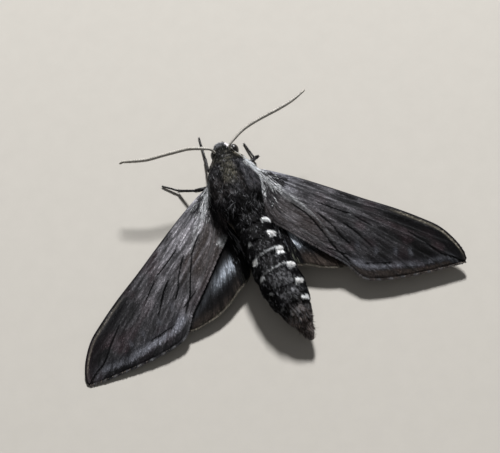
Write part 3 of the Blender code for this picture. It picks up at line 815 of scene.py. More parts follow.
def trunk_tufts(roots, normals, settings, random):
    """Lie, size and colour of the tufts at some roots on the trunk."""
    along, angle, _radius = trunk_place(roots)
    arc = np.radians(angle) * TRUNK_RADIUS
    count = len(along)
    flow = trunk_heading(along)
    face = 1 - ramp(along, -15.9, -14.9)
    downwards = np.tile([0.0, -0.25, -1.0], (count, 1))
    flow = flow * (1 - face)[:, None] + downwards * face[:, None]
    clump = grain(arc / 0.8 + 17, along / 1.1 + 50, 5) - 0.5
    scatter = curve(SCATTERS, along)
    flow = turned(flow, normals, clump * 2.6 * scatter + random.normal(0.0, 0.55, count) * scatter)
    length = curve(LENGTHS, along) * random.uniform(0.7, 1.2, count)
    length = np.minimum(length, np.maximum(TAIL_TIP + 0.2 - along, 0.5))
    colours, fleck = trunk_pattern(roots + flow * 0.6 * length[:, None])
    dark = 1 - ramp(colours.mean(1, keepdims=True), 0.2, 0.45)
    light = np.minimum(colours * np.exp(random.normal(0.0, 0.3, (count, 1)) * (0.1 + 0.9 * dark)), 0.95)
    frosted = 0.1 + 0.5 * within(along, -2.5, 2.0, 1.2) + 0.9 * ramp(along, 8.0, 17.0)
    frosted = frosted * (1 - 0.8 * within(np.abs(angle), 40, 112, 4) * ramp(along, 1.0, 3.0))
    pale = random.random(count) < ramp(fleck, 0.3, 0.7) * (0.08 + 0.34 * frosted)
    pale_tips = tinted(light, ASH * 0.85, pale * random.uniform(0.6, 1.0, count))
    soft = 1 - ramp(colours.mean(1), 0.3, 0.5)
    tips = pale_tips * soft[:, None] + light * (1 - soft)[:, None]
    shadow = 0.4 + 0.55 * np.maximum(1 - soft, 0.8 * face)
    lift = np.radians(curve(LIFTS, along)) * random.uniform(0.6, 1.35, count)
    return {
        "root": roots, "normal": normals, "flow": flow, "length": length,
        "width": settings.hair_width / MM * random.uniform(0.75, 1.25, count)
        * (1 - 0.35 * within(along, -17, -13.0, 0.5)),
        "flat": np.full(count, 0.42), "sink": np.full(count, 0.05), "lift": lift,
        "droop": np.sin(lift) * random.uniform(0.2, 0.6, count),
        "bend": random.normal(0.0, 0.2, count), "base": light * shadow[:, None], "tip": tips,
        "map": np.column_stack([0.02 + 0.96 * (angle / 360 + 0.5),
                                0.02 + 0.96 * (along - NOSE + 1) / TRUNK_MAP_LENGTH]),
    }


TRUNK_MAP_LENGTH = 48         # length of the trunk that its tufts' map covers
BROWS = 620                   # tufts over each eye
BROW_REACH = {1: -0.1, -1: 0.25}  # how far inside an eye's middle they start, by side
PALE_HAIRS = {"line": 460, "tuft": 210}
SHOULDERS = 2200              # long tufts on each flank of the thorax
SHOULDER_DENSITY = 90.0       # in each square millimetre, before those off the flank are dropped


def brow_tufts(side, settings, random):
    """Hair that hangs from the crown over the top of an eye."""
    turn = np.radians(random.uniform(-15.0, 195.0, BROWS))
    reach = random.uniform(0.9, 1.3, BROWS) + (0.12 if side < 0 else 0.0)
    x, y, z = EYE_CENTRES[side]
    ring = np.column_stack([np.full(BROWS, x - side * BROW_REACH[side]) - side * 0.5 * (reach - 0.9),
                            y + EYE_RADII[1] * reach * np.cos(turn),
                            z + EYE_RADII[2] * reach * np.sin(turn)])
    spin = np.array(Matrix.Rotation(BODY_ROLL, 3, "Y"))
    pivot = np.array((0.0, 0.0, ROLL_AXIS_HEIGHT))
    root = (ring - pivot) @ spin.T + pivot
    out = np.column_stack([np.full(BROWS, side * 0.75), 0.35 * np.cos(turn), 0.2 + np.sin(turn)]) @ spin.T
    fall = 0.75 if side > 0 else 0.25
    lie = np.column_stack([np.full(BROWS, side * 0.9), 0.5 - 0.4 * np.cos(turn), -fall * np.sin(turn)])
    tufts = trunk_tufts(root, unit(out), settings, random)
    tufts["flow"] = lie @ spin.T + random.normal(0.0, 0.22, (BROWS, 3))
    tufts["length"] = random.uniform(0.45, 0.85 if side > 0 else 1.15, BROWS)
    tufts["lift"] = np.radians(random.uniform(6.0, 24.0, BROWS))
    tufts["droop"] = np.full(BROWS, 0.35)
    return tufts


def pale_tufts(skin, places, flow, colour, settings, random):
    """Short pale hair on top of the coat, over the skin at some places."""
    points, normals = points_of(skin) / MM - SHIFT, normals_of(skin)
    nearest = np.array([np.argmin(((points - place) ** 2).sum(1)) for place in places])
    out = normals[nearest]
    rise = ((points[nearest] - places) * out).sum(1, keepdims=True) + 0.3
    tufts = trunk_tufts(places + out * rise, out, settings, random)
    count = len(places)
    tufts["flow"] = flow + random.normal(0.0, 0.12, (count, 3))
    tufts["length"] = random.uniform(0.35, 0.6, count)
    tufts["width"] = random.uniform(0.09, 0.13, count)
    tufts["lift"] = np.radians(random.uniform(2.0, 12.0, count))
    tufts["base"] = tufts["tip"] = colour * random.uniform(0.75, 1.1, (count, 1))
    return tufts


def marking_tufts(skin, settings, random):
    """The pale line over the right eye and the white tuft at that feeler's root."""
    path = np.array(BROW_PATH)
    count = PALE_HAIRS["line"]
    at = random.uniform(path[0, 1], path[-1, 1], count)
    line = np.column_stack([curve(path[:, [1, 0]], at), at, curve(path[:, [1, 2]], at)])
    line[:, 0] += random.normal(0.0, 0.06, count)
    lie = np.tile((-0.69, 1.0, -0.1), (count, 1))
    groups = [pale_tufts(skin, line, lie, linear("#e2e1dc"), settings, random)]
    count = PALE_HAIRS["tuft"]
    spread = random.normal(0.0, 0.3, (count, 3))
    spread[:, 0] = np.abs(spread[:, 0]) - 0.12
    lie = np.tile((-0.3, 0.5, 0.5), (count, 1)) + spread
    groups.append(pale_tufts(skin, np.array(WHITE_TUFT) + spread, lie, linear("#dfdbde"), settings, random))
    return together(groups)


def shoulder_tufts(name, skin, settings, random):
    """Long hair from the flank of the thorax, over the root of a forewing; on the left it is near-black as
    painted shade.
    """
    side = SIDES[name]
    roots, normals = scattered(skin, SHOULDER_DENSITY, random)
    along, angle, _radius = trunk_place(roots)
    keep = (angle * side > 60) & (angle * side < 112) & (along > -11.2) & (along < 1.4)
    roots, normals = roots[keep][:SHOULDERS], normals[keep][:SHOULDERS]
    along, angle, _radius = trunk_place(roots)
    count = len(along)
    spread = 0.25 + 0.85 * within(along, -11.6, -6.0, 0.8)
    flow = trunk_heading(along) + spread[:, None] * np.array((side, 0.0, -0.25))
    flow = flow + random.normal(0.0, 0.13, (count, 3))
    tufts = trunk_tufts(roots, normals, settings, random)
    tufts["flow"] = flow
    tufts["length"] = (1.4 + 0.7 * within(along, -7.5, -1.0, 1.2)) * random.uniform(0.6, 1.2, count)
    tufts["width"] = random.uniform(0.09, 0.15, count)
    proud = within(along, -10.6, -7.4, 0.4) * (name == "right")
    tufts["lift"] = np.radians(random.uniform(8.0, 24.0, count) + 26.0 * proud)
    tufts["droop"] = np.sin(tufts["lift"]) * random.uniform(0.7, 1.3, count) * (1 - 0.65 * proud)
    white = random.random(count) < (0.95 * within(along, -10.8, -6.9, 0.4) if name == "right"
                                    else 0.6 * within(along, -7.9, -6.3, 0.3))
    # on the left the hair is near-black: painted shade of that flank, apart from its small white patch
    dark = SLATE * 0.32 if name == "right" else SOOT * 0.6
    shade = np.where(white[:, None], WHITE, dark) * random.uniform(0.72, 1.05, (count, 1))
    tufts["base"], tufts["tip"] = shade * 0.8, shade
    return tufts


def make_trunk_coat(settings):
    """The coat of head, thorax and abdomen, in lengths."""
    skin = bpy.data.objects["body_skin"].data
    material = hair_scale_material()
    for number, (name, start, end, density, blade) in enumerate(COAT_LENGTHS):
        random = np.random.default_rng(settings.seed + number)
        roots, normals = scattered(skin, density * settings.density, random)
        keep = (roots[:, 1] >= start) & (roots[:, 1] < end)
        for side in SIDES.values():
            gap = (roots - np.array(rolled(EYE_CENTRES[side]))) / np.array(EYE_RADII)
            keep &= np.linalg.norm(gap, axis=1) > 0.97
        tufts = trunk_tufts(roots[keep], normals[keep], settings, random)
        if name == "coat_head":
            tufts = together([tufts] + [brow_tufts(side, settings, random) for side in SIDES.values()]
                             + [marking_tufts(skin, settings, random)])
        grow(name, tufts, blade, material)
    for name, side in SIDES.items():
        random = np.random.default_rng(settings.seed + 50 + side)
        tufts = shoulder_tufts(name, skin, settings, random)
        grow(f"shoulder_hair_{name}", tufts, HAIR, material)


# ---------------------------------------------------------------- wings

VEIN_WIDTH = 0.2
WING_ROOT = -1.6              # the membrane starts this far inside the hinge, under the coat
ROOT_FILL = 1.5               # and reaches this far in behind it
# Forewing veins, from the cell to the margin: distances along and across the wing
FOREWING_VEINS = (
    ((0.5, -0.1), (14.0, -0.9), (30.0, -2.6), (40.0, -3.2)),
    ((0.5, 0.1), (12.0, 0.2), (24.0, -0.8), (42.5, -1.9)),
    ((20.5, 0.6), (30.0, 0.3), (45.5, 0.2)),
    ((21.0, 1.5), (32.0, 2.2), (44.0, 3.0)),
    ((21.0, 3.0), (30.0, 4.8), (39.5, 6.6)),
    ((21.0, 4.0), (28.0, 6.3), (36.0, 9.0)),
    ((19.5, 4.6), (26.0, 7.9), (32.5, 11.3)),
    ((0.5, 0.4), (8.0, 2.6), (15.0, 4.8), (22.0, 8.5), (28.5, 12.3)),
    ((0.5, 1.0), (8.0, 6.5), (24.0, 10.3)),
)
HINDWING_VEINS = (4.0, 12.0, 20.0, 27.0, 34.0, 41.0, 47.0)  # degrees outwards from straight back
# Black dashes between the forewing's veins, each with its reach to either side
FOREWING_DASHES = (
    (((33.7, -1.0), (37.0, -0.6), (39.5, -0.1), (42.0, 0.3)), 0.26),
    (((42.0, 0.3), (44.5, -0.1), (47.4, -0.1)), 0.22),
    (((14.0, 1.0), (19.7, 0.65), (21.0, 0.4)), 0.17),
    (((22.2, 0.6), (26.4, 1.1)), 0.17),
    (((20.6, 2.9), (23.1, 3.4), (28.0, 5.0)), 0.26),
    (((14.6, 3.0), (18.75, 4.35), (20.8, 5.5), (23.4, 6.3)), 0.27),
    (((8.8, 3.3), (12.8, 4.2), (17.0, 6.2), (21.0, 8.4), (24.5, 9.5)), 0.27),
    (((27.8, 8.9), (31.0, 7.4), (33.2, 6.3)), 0.22),
    (((19.4, 9.0), (24.0, 8.6)), 0.2),
)
# Distance along the forewing, with the brightness of its ground
FOREWING_TONES = {
    "left": ((0.0, 0.24), (5.0, 0.2), (10.0, 0.135), (16.0, 0.1), (22.0, 0.078), (30.0, 0.042),
             (36.0, 0.022), (42.0, 0.012), (47.6, 0.014)),
    "right": ((0.0, 0.14), (5.0, 0.115), (10.0, 0.08), (16.0, 0.056), (22.0, 0.038), (30.0, 0.017),
              (36.0, 0.007), (42.0, 0.005), (47.6, 0.008)),
}
# Lines over the forewing, by distances along and across
PALE_BAND = ((24.5, 10.2), (28.6, 9.9), (31.0, 8.8), (35.5, 6.5), (39.1, 4.5), (43.2, 1.4), (45.5, 0.9))
CELL_MARKS = ((24.8, 6.5), (28.9, 6.0), (32.6, 4.3), (35.6, 3.2))
BASE_STREAK = ((0.0, 0.2), (3.0, 1.2), (7.0, 2.3), (10.0, 3.1), (14.0, 4.5), (16.0, 5.5), (20.4, 8.1))
INNER_STREAK = ((-1.6, -1.4), (0.0, 0.5), (1.5, 2.3), (3.2, 4.4), (5.0, 6.5))
# The last line is where the thorax's shadow is painted over the left forewing's root
THORAX_SHADOW_LINE = ((0.0, -0.8), (0.5, -0.3), (2.0, 1.5), (4.0, 5.0), (6.0, 8.5), (9.0, 11.0))
FOREWING_TINT = np.array((1.0, 0.965, 1.05))
SCALLOPS = 62.0               # phase of the scalloped margin over the forewing's breadth
FOREWING_BREADTH = 14.6       # at its widest
HINDWING_REACH = 27.5         # at its longest
HINDWING_FAN = 56             # degrees that the count of its scales allows for
UNDER_SEEDS = {"fore": 61, "hind": 62}
MEMBRANE_SHADE = 0.8          # brightness of the membrane against the scales over it
MEMBRANE_CELLS = {"fore": (190, 54), "hind": (84, 72)}
# Side of a wing, its name in the pieces and its share of the scales
SCALE_LAYERS = ((1.0, "upper", 1.0), (-1.0, "under", 0.34))
FRINGE_WIDTH = 0.16
WING_HAIRS = {"fan": 900, "forewing fringe": 3000, "hindwing fringe": 2200, "inner edge": 700}


def wing_axes(wing):
    """The directions along a forewing and rearwards across it, over the floor."""
    out = np.array((wing["side"] * math.sin(wing["sweep"]), math.cos(wing["sweep"])))
    back = np.array((-wing["side"] * math.cos(wing["sweep"]), math.sin(wing["sweep"])))
    return out, back


def wing_height(wing, places):
    """Height of the forewing's middle surface over places on the floor."""
    out, back = wing_axes(wing)
    hinge = np.array(wing["hinge"])
    corner_along, corner_across = FOREWING_CORNER
    dip = (wing["tip_height"] - hinge[2]) / FOREWING_LENGTH
    droop = (wing["corner_height"] - hinge[2] - dip * corner_along) / corner_across
    along, across = (places - hinge[:2]) @ out, (places - hinge[:2]) @ back
    part = np.clip(along / FOREWING_LENGTH, 0.0, 1.0)
    return hinge[2] + dip * along + droop * across + FOREWING_ARCH * np.sin(math.pi * part)


def forewing_edges(along, fringe):
    """Front and rear edges of the forewing's membrane, inside its fringe and under the body's coat."""
    front, rear = curve(FOREWING_FRONT, along), curve(FOREWING_REAR, along)
    rear = rear + ROOT_FILL * (1 - ramp(along, 3.5, 11.0))
    return front, rear - np.minimum(fringe, 0.3 * (rear - front))


def flow_share(along, across):
    """Where a place lies between the front edge and the line that the rear scales follow."""
    front = curve(FOREWING_FRONT, along)
    return (across - front) / (curve(SCALE_FLOW_REAR, along) - front)


def flow_slope(along, across):
    """How fast the scales' lie moves across the forewing, for each step along it."""
    share, step = flow_share(along, across), 0.3
    spots = []
    for place in (along - step, along + step):
        front = curve(FOREWING_FRONT, place)
        spots.append(front + share * (curve(SCALE_FLOW_REAR, place) - front))
    return (spots[1] - spots[0]) / (2 * step)


def near_line(along, across, rows, width, fade=0.5):
    """How much a place lies on a line of some width that tapers at its ends."""
    first, last = rows[0][0], rows[-1][0]
    gap = np.abs(across - curve(rows, along))
    taper = within(along, first, last, fade)
    return taper * (1 - ramp(gap, width * 0.35, width * 0.95))


def front_marks(along, across, share, patch, left):
    """Dark wedge inside a forewing's front edge, with a cream line between, and dark cells."""
    gap = across - curve(FOREWING_FRONT, along)
    wedge = within(gap, 0.95, 2.6, 0.35) * within(along, 28.0, 45.0, 2.0)
    cream = bell(gap, 0.7, 0.17) * within(along, 29.0, 45.5, 2.0)
    cells = within(share, 0.38, 0.66, 0.05) * within(along, 25.0, 38.0, 2.0)
    return [
        (SOOT * 0.45, wedge * 0.8),
        (BUFF * 0.7, cream * (0.4 if left else 0.75)),
        (SOOT * 0.6, (1 - ramp(gap, 0.25, 0.55)) * 0.8 * ramp(along, 2.0, 7.0)),
        (SOOT * 0.9, cells * ramp(patch, 0.3, 0.7) * 0.45),
    ]


def root_marks(along, across, share, fine, broad, left):
    """Pale streaks at a forewing's root and the dull brown behind them; on the left, a strip of painted
    shadow from the thorax and a pale corner.
    """
    gap = across - curve(BASE_STREAK, along)
    dull = ramp(share, 0.36, 0.6) * (1 - ramp(along, 14.0, 22.0))
    streak = bell(gap, 0.0, 0.75 - 0.4 * ramp(along, 8.0, 13.0)) * (1 - ramp(along, 7.0, 15.0))
    streak = streak * (0.25 + 0.75 * ramp(fine, 0.35, 0.6))
    fan = (1 - ramp(along, 5.0, 10.0)) * within(share, -0.2, 0.42, 0.08)
    fan = fan * (0.35 + 0.65 * ramp(fine, 0.25, 0.55))
    thin = bell(gap, -0.25, 0.2) * within(along, 9.0, 20.0, 2.0) * ramp(broad, 0.2, 0.5)
    layers = [
        (BROWN * 0.5, dull * (0.72 if left else 0.5)),
        (WHITE * 0.55, streak * (0.55 if left else 0.85)),
        (SLATE * 0.75, fan * (0.3 if left else 0.7)),
        (WHITE * 0.4, thin * (0.2 if left else 0.5)),
    ]
    if left:
        # painted shadow: a near-black strip where the thorax shades the left forewing's root
        thorax_shadow = bell(across, curve(THORAX_SHADOW_LINE, along), 1.0) * (1 - ramp(along, 8.0, 10.0))
        corner = within(along, 6.3, 8.7, 0.4) * ramp(across, 7.2, 8.2)
        return layers + [(SOOT * 0.5, thorax_shadow * 0.92), (WHITE * 0.5, corner * 0.8)]
    inner = bell(across, curve(INNER_STREAK, along), 0.55) * (1 - ramp(along, 2.2, 3.8))
    return layers + [(WHITE * 0.8, inner * 0.9)]


def margin_marks(along, across, share, fine, broad, left):
    """Pale band before a forewing's margin, broken up, and the darker scalloped edge outside it."""
    band = curve(PALE_BAND, along) - 0.25
    span = within(along, 25.0, 45.0, 1.5)
    reach = np.where(across < band, 1.7, 0.8) * (0.8 if left else 0.6)
    lift = bell(across, band, reach) * span * (0.35 + 0.65 * ramp(broad * 0.5 + fine * 0.5, 0.3, 0.65))
    glow = (0.8 if left else 0.55) * (1.0 - 0.6 * ramp(along, 31.0, 42.0))
    scallop = (0.5 + 0.5 * np.cos(share * SCALLOPS)) ** 2
    rim = bell(curve(FOREWING_REAR, along) - across, 0.45, 0.22)
    rim = rim * ramp(along, 20.0, 24.0) * (1 - ramp(along, 42.0, 46.0))
    return [
        (SLATE * glow[:, None], lift * 0.9),
        (SOOT * 0.6, bell(across, band - 1.45, 0.5) * span * 0.6),
        (SOOT * 0.5 if left else BROWN * 0.45, ramp(across - band, 0.6, 1.0) * span * 0.75),
        (ASH * 0.45, rim * (0.1 + 0.45 * scallop)),
    ]


def vein_marks(along, across, dash_shift):
    """Pale marks at the ends of a forewing's cells, pale veins, and black dashes with pale edges."""
    layers = [(SLATE * 0.35, bell(along, place + 0.35 * (across - offset), 0.42)
               * bell(across, offset, 0.75) * 0.6) for place, offset in CELL_MARKS]
    layers.append((ASH * 0.7, bell(along, 20.85, 0.45) * bell(across, 0.85, 0.55) * 0.75))
    pale = ASH * 0.45 * (1.2 - 0.8 * ramp(along, 10, 35))[:, None]
    layers += [(pale, near_line(along, across, vein, 0.34, 1.5) * 0.25) for vein in FOREWING_VEINS]
    shifted = across - dash_shift
    for rows, width in FOREWING_DASHES:
        layers.append((linear("#000000"), near_line(along, shifted, rows, width, 0.8) * 0.98))
        halo = near_line(along, shifted - 1.7 * width, rows, width * 0.8, 1.2)
        layers.append((ASH * 0.3, halo * 0.25))
    inner = 1 - ramp(curve(FOREWING_REAR, along) - across, 0.2, 0.8)
    return layers + [(SOOT * 0.6, inner * (1 - ramp(along, 22, 26)) * ramp(along, 3, 6) * 0.4)]


def forewing_pattern(along, across, wing):
    """Colour of the upper scales at places on a forewing."""
    share = flow_share(along, across)
    left = wing["side"] > 0
    seed = 20 if left else 30
    fine = grain(share * 46, along / 2.2 + 7, seed)
    broad = grain(share * 19 + 5, along / 4.6 + 3, seed + 1)
    patch = grain(across / 2.4 + 31, along / 3.4 + 17, seed + 2)
    tone = curve(FOREWING_TONES["left" if left else "right"], along)
    tone = tone * np.exp(2.0 * (fine - 0.5) + 1.3 * (broad - 0.5) + 1.0 * (patch - 0.5))
    return painted(tone[:, None] * FOREWING_TINT,
                   (linear("#3a2c30"), ramp(patch, 0.55, 0.9) * 0.45 * ramp(along, 8, 16)),
                   *front_marks(along, across, share, patch, left),
                   *root_marks(along, across, share, fine, broad, left),
                   *margin_marks(along, across, share, fine, broad, left),
                   *vein_marks(along, across, wing["dash_shift"]))


def hindwing_pattern(outward, rearward, wing):
    """Colour of the upper scales at places on a hindwing, outwards and rearwards of its hinge."""
    radius, angle = np.hypot(outward, rearward), np.degrees(np.arctan2(outward, rearward))
    left = wing["side"] > 0
    seed = 40 if left else 50
    fine = grain(angle * 1.7 + 50, radius / 2.4 + 9, seed)
    broad = grain(angle / 3.2 + 50, radius / 4.0 + 5, seed + 1)
    band = bell(rearward, (11.2 if left else 10.7) + 0.45 * outward, 1.1 if left else 1.5)
    band = band * (ramp(outward, -1.4, 0.2) if left else ramp(outward, -2.6, -1.2))
    band = band * (1.0 - (0.95 * ramp(outward, 3.5, 10.0) if left else 0.85 * ramp(outward, 3.0, 4.6)))
    dusty = within(outward, 0.0, 2.6, 0.4) * within(rearward, 13.4, 17.5, 0.7)
    gap = curve(HINDWING_RADII, angle) - radius
    outer = (1 - ramp(gap, 1.2, 3.6 if left else 5.5)) * ramp(angle, 4, 16)
    rim = bell(gap, 0.75, 0.22) * (0.5 + 0.5 * np.cos(np.radians(angle) * 52.0)) * ramp(angle, 2, 10)
    light = bell(outward, -1.2, 0.25) * within(rearward, 9.0, 16.0, 0.8)
    return painted(
        linear("#0b0a0b") * np.exp(1.6 * (fine - 0.5) + 0.9 * (broad - 0.5))[:, None],
        (BROWN * 0.22, ramp(broad, 0.45, 0.8) * (0.25 if left else 0.55)),
        (linear("#b4bcc8") * (1.2 if left else 1.5), band * (0.35 + 0.6 * ramp(fine, 0.25, 0.6))),
        (linear("#5f6258") * (0.8 if left else 1.3), dusty * (0.25 if left else 0.85)),
        (BROWN * (0.55 if left else 0.9), outer * ((0.15 if left else 0.4) + 0.5 * ramp(fine, 0.35, 0.7))),
        (BUFF * 0.4, rim * 0.45),
        (ASH * 0.8, light * 0.8),
    )


def under_pattern(along, across, seed):
    """Colour of a wing's underside: plain grey-brown, freckled."""
    fleck = grain(across / 0.3 + 60, along / 1.2 + 60, seed)
    colours = np.tile(linear("#57504b"), (len(along), 1))
    return colours * np.exp(0.9 * (fleck - 0.5))[:, None]


def forewing_relief(along, across, settings):
    """Rise of the veins and the thick front edge over a forewing's upper surface."""
    rise = np.zeros(len(along))
    for vein in FOREWING_VEINS:
        ridge = bell(across, curve(vein, along), VEIN_WIDTH)
        rise = np.maximum(rise, ridge * within(along, vein[0][0], vein[-1][0], 1.0))
    pleat = 0.05 * np.sin(flow_share(along, across) * 34.0) * ramp(along, 8.0, 20.0)
    costa = 0.13 * bell(across - curve(FOREWING_FRONT, along), 0.3, 0.3)
    return settings.vein_height / MM * rise + pleat + costa


def hindwing_relief(radius, angle, settings):
    """Rise of the veins over a hindwing's upper surface."""
    rise = np.zeros(len(radius))
    for vein in HINDWING_VEINS:
        rise = np.maximum(rise, bell(np.radians(angle - vein) * radius, 0.0, VEIN_WIDTH))
    return settings.vein_height / MM * (rise + 0.5 * np.sin(np.radians(angle) * 26.0) * ramp(radius, 5, 12))


def forewing_point(wing, along, across, face, settings):
    """Places on a forewing: face is 1 over its upper surface and -1 under its lower one."""
    out, back = wing_axes(wing)
    front, rear = forewing_edges(along, settings.fringe / MM)
    room = np.minimum(np.minimum(across - front, rear - across), (FOREWING_LENGTH - along) * 0.6)
    thin = 0.12 + 0.88 * ramp(room, -0.05, 0.7)
    places = np.array(wing["hinge"])[:2] + along[:, None] * out + across[:, None] * back
    relief = forewing_relief(along, across, settings)
    height = wing_height(wing, places) + face * settings.thickness / MM / 2 * thin
    height = height + relief * thin * np.where(face > 0, 1.0, -0.4)
    return np.column_stack([places, np.maximum(height, 0.02)])


def hindwing_point(wing, angle, radius, face, settings):
    """Places on a hindwing, by the angle out from straight back and the distance from its hinge."""
    edge = curve(HINDWING_RADII, angle) - settings.fringe / MM
    thin = 0.12 + 0.88 * ramp(edge - radius, -0.05, 0.7)
    turn = np.radians(angle) + wing["hind_turn"]
    away = np.column_stack([wing["side"] * np.sin(turn), np.cos(turn)]) * radius[:, None]
    places = np.array(wing["hind_hinge"]) + away
    middle = np.maximum(wing_height(wing, places) - WING_SPACING, 0.16)
    height = middle + face * settings.thickness / MM / 2 * thin
    height = height + hindwing_relief(radius, angle, settings) * thin * np.where(face > 0, 1.0, -0.4)
    return np.column_stack([places, np.maximum(height, 0.02)])


def closed_sheet(name, cells):
    """A closed slab of cells, one unit each way, as mesh data with its points' places and faces."""
    mesh = bmesh.new()
    bmesh.ops.create_grid(mesh, x_segments=cells[0], y_segments=cells[1], size=0.5)
    grown = bmesh.ops.extrude_face_region(mesh, geom=list(mesh.faces), use_keep_orig=True)["geom"]
    top = [item for item in grown if isinstance(item, bmesh.types.BMVert)]
    bmesh.ops.translate(mesh, vec=(0.0, 0.0, 1.0), verts=top)
    bmesh.ops.recalc_face_normals(mesh, faces=mesh.faces)
    data = to_data(mesh, name)
    places = points_of(data)
    return data, places[:, :2] + 0.5, np.where(places[:, 2] > 0.5, 1.0, -1.0)


def face_outwards(data):
    """Point a mesh's faces outwards, whichever way round its places were laid."""
    mesh = bmesh.new()
    mesh.from_mesh(data)
    bmesh.ops.recalc_face_normals(mesh, faces=mesh.faces)
    mesh.to_mesh(data)
    mesh.free()


def make_forewing(name, wing, material, settings):
    """The membrane of a forewing."""
    data, cell, face = closed_sheet(f"wing_fore_{name}", MEMBRANE_CELLS["fore"])
    along = WING_ROOT + cell[:, 0] * (FOREWING_LENGTH - 0.35 - WING_ROOT)
    front, rear = forewing_edges(along, settings.fringe / MM)
    across = front + (rear - front) * cell[:, 1]
    set_points(data, forewing_point(wing, along, across, face, settings))
    face_outwards(data)
    upper = forewing_pattern(along, across, wing)
    lower = under_pattern(along, across, UNDER_SEEDS["fore"])
    set_colours(data, np.where(face[:, None] > 0, upper, lower) * MEMBRANE_SHADE)
    set_map(data, "flow", np.stack([along / 50, flow_share(along, across)], 1))
    add_piece(f"wing_fore_{name}", data, material, [f"forewing_{name}"])


def make_hindwing(name, wing, material, settings):
    """The membrane of a hindwing."""
    data, cell, face = closed_sheet(f"wing_hind_{name}", MEMBRANE_CELLS["hind"])
    first, last = HINDWING_RADII[0][0], HINDWING_RADII[-1][0]
    angle = first + (last - first) * cell[:, 1]
    edge = curve(HINDWING_RADII, angle) - settings.fringe / MM
    radius = edge * (0.06 + 0.94 * cell[:, 0])
    set_points(data, hindwing_point(wing, angle, radius, face, settings))
    face_outwards(data)
    turn = np.radians(angle)
    upper = hindwing_pattern(radius * np.sin(turn), radius * np.cos(turn), wing)
    lower = under_pattern(radius, angle / 3, UNDER_SEEDS["hind"])
    set_colours(data, np.where(face[:, None] > 0, upper, lower) * MEMBRANE_SHADE)
    set_map(data, "flow", np.stack([radius / 50, (angle + 5) / 65], 1))
    add_piece(f"wing_hind_{name}", data, material, [f"hindwing_{name}"])


def vane_tufts(root, normal, flow, colours, places, settings, random, size=None):
    """Flat vanes of scales over a wing, of the settings' length and width or another."""
    count = len(root)
    length, width = size or (settings.scale_length / MM, settings.scale_width / MM)
    light = colours * np.exp(random.normal(0.0, 0.38, count))[:, None]
    return {
        "root": root, "normal": normal, "flow": turned(flow, normal, random.normal(0.0, 4.0, count)),
        "length": length * random.uniform(0.7, 1.25, count),
        "width": width * random.uniform(0.75, 1.2, count),
        "flat": np.full(count, 0.1), "sink": np.full(count, 0.008),
        "lift": np.radians(random.uniform(0.8, 3.2, count)), "droop": np.full(count, 0.012),
        "bend": random.normal(0.0, 0.03, count), "base": light * 0.85, "tip": light * 1.08, "map": places,
    }


def forewing_map(along, across):
    """Where places on a forewing lie on its tufts' map."""
    return np.column_stack([0.02 + 0.95 * (along + 1.5) / 50, 0.04 + 0.9 * (across + 5) / 18])


def forewing_frame(wing, along, across, face, settings):
    """Places on a forewing with their normals and the scales' lie."""
    step = 0.15
    root = forewing_point(wing, along, across, face, settings)
    ahead = forewing_point(wing, along + step, across, face, settings) - root
    aside = forewing_point(wing, along, across + step, face, settings) - root
    normal = unit(np.cross(ahead, aside))
    normal = normal * np.sign(normal[:, 2:]) * face
    return root, normal, unit(ahead + aside * flow_slope(along, across)[:, None])


def hindwing_frame(wing, angle, radius, face, settings):
    """Places on a hindwing with their normals and the scales' lie, out from its hinge."""
    root = hindwing_point(wing, angle, radius, face, settings)
    ahead = hindwing_point(wing, angle, radius + 0.15, face, settings) - root
    aside = hindwing_point(wing, angle + 1.0, radius, face, settings) - root
    normal = unit(np.cross(ahead, aside))
    return root, normal * np.sign(normal[:, 2:]) * face, unit(ahead)


def forewing_spots(count, random, settings):
    """Random places over a forewing, evenly spread."""
    along = random.uniform(-1.2, FOREWING_LENGTH - 0.8, count * 2)
    front, rear = forewing_edges(along, settings.fringe / MM)
    kept = random.random(len(along)) < (rear - front) / FOREWING_BREADTH
    along, front, rear = along[kept], front[kept], rear[kept]
    return along, front + (rear - front) * random.uniform(0.012, 0.985, len(along))


def hindwing_spots(count, random, settings):
    """Random places over a hindwing, evenly spread."""
    angle = random.uniform(HINDWING_RADII[0][0], HINDWING_RADII[-1][0], count)
    edge = curve(HINDWING_RADII, angle) - settings.fringe / MM
    kept = random.random(count) < (edge / HINDWING_REACH) ** 2
    angle, edge = angle[kept], edge[kept]
    return angle, edge * np.sqrt(random.uniform(0.02, 0.99, len(angle)))


DASH_STEP = 0.05              # vanes of black scales follow each other at this distance
DASH_COLOUR = linear("#08080a")
DASH_VANE = (0.7, 0.085)      # their length and width


def dash_tufts(wing, settings, random):
    """Narrow black vanes on top of the rest, along a forewing's black dashes."""
    groups = []
    for rows, width in FOREWING_DASHES:
        along = np.arange(rows[0][0], rows[-1][0] - 0.5, DASH_STEP)
        along = along + random.uniform(-0.1, 0.1, len(along))
        taper = within(along, rows[0][0], rows[-1][0], 1.2)
        across = curve(rows, along) + wing["dash_shift"]
        across = across + random.uniform(-0.2, 0.2, len(along)) * width * taper
        slope = (curve(rows, along + 0.2) - curve(rows, along - 0.2)) / 0.4
        root, normal, _flow = forewing_frame(wing, along, across, 1.0, settings)
        out, back = wing_axes(wing)
        flow = np.column_stack([out + slope[:, None] * back, np.zeros(len(along))])
        tint = np.tile(DASH_COLOUR, (len(along), 1))
        places = forewing_map(along, across)
        group = vane_tufts(root, normal, flow, tint, places, settings, random, DASH_VANE)
        group["sink"] = np.full(len(along), -0.035)
        group["flow"] = flow
        groups.append(group)
    return together(groups)


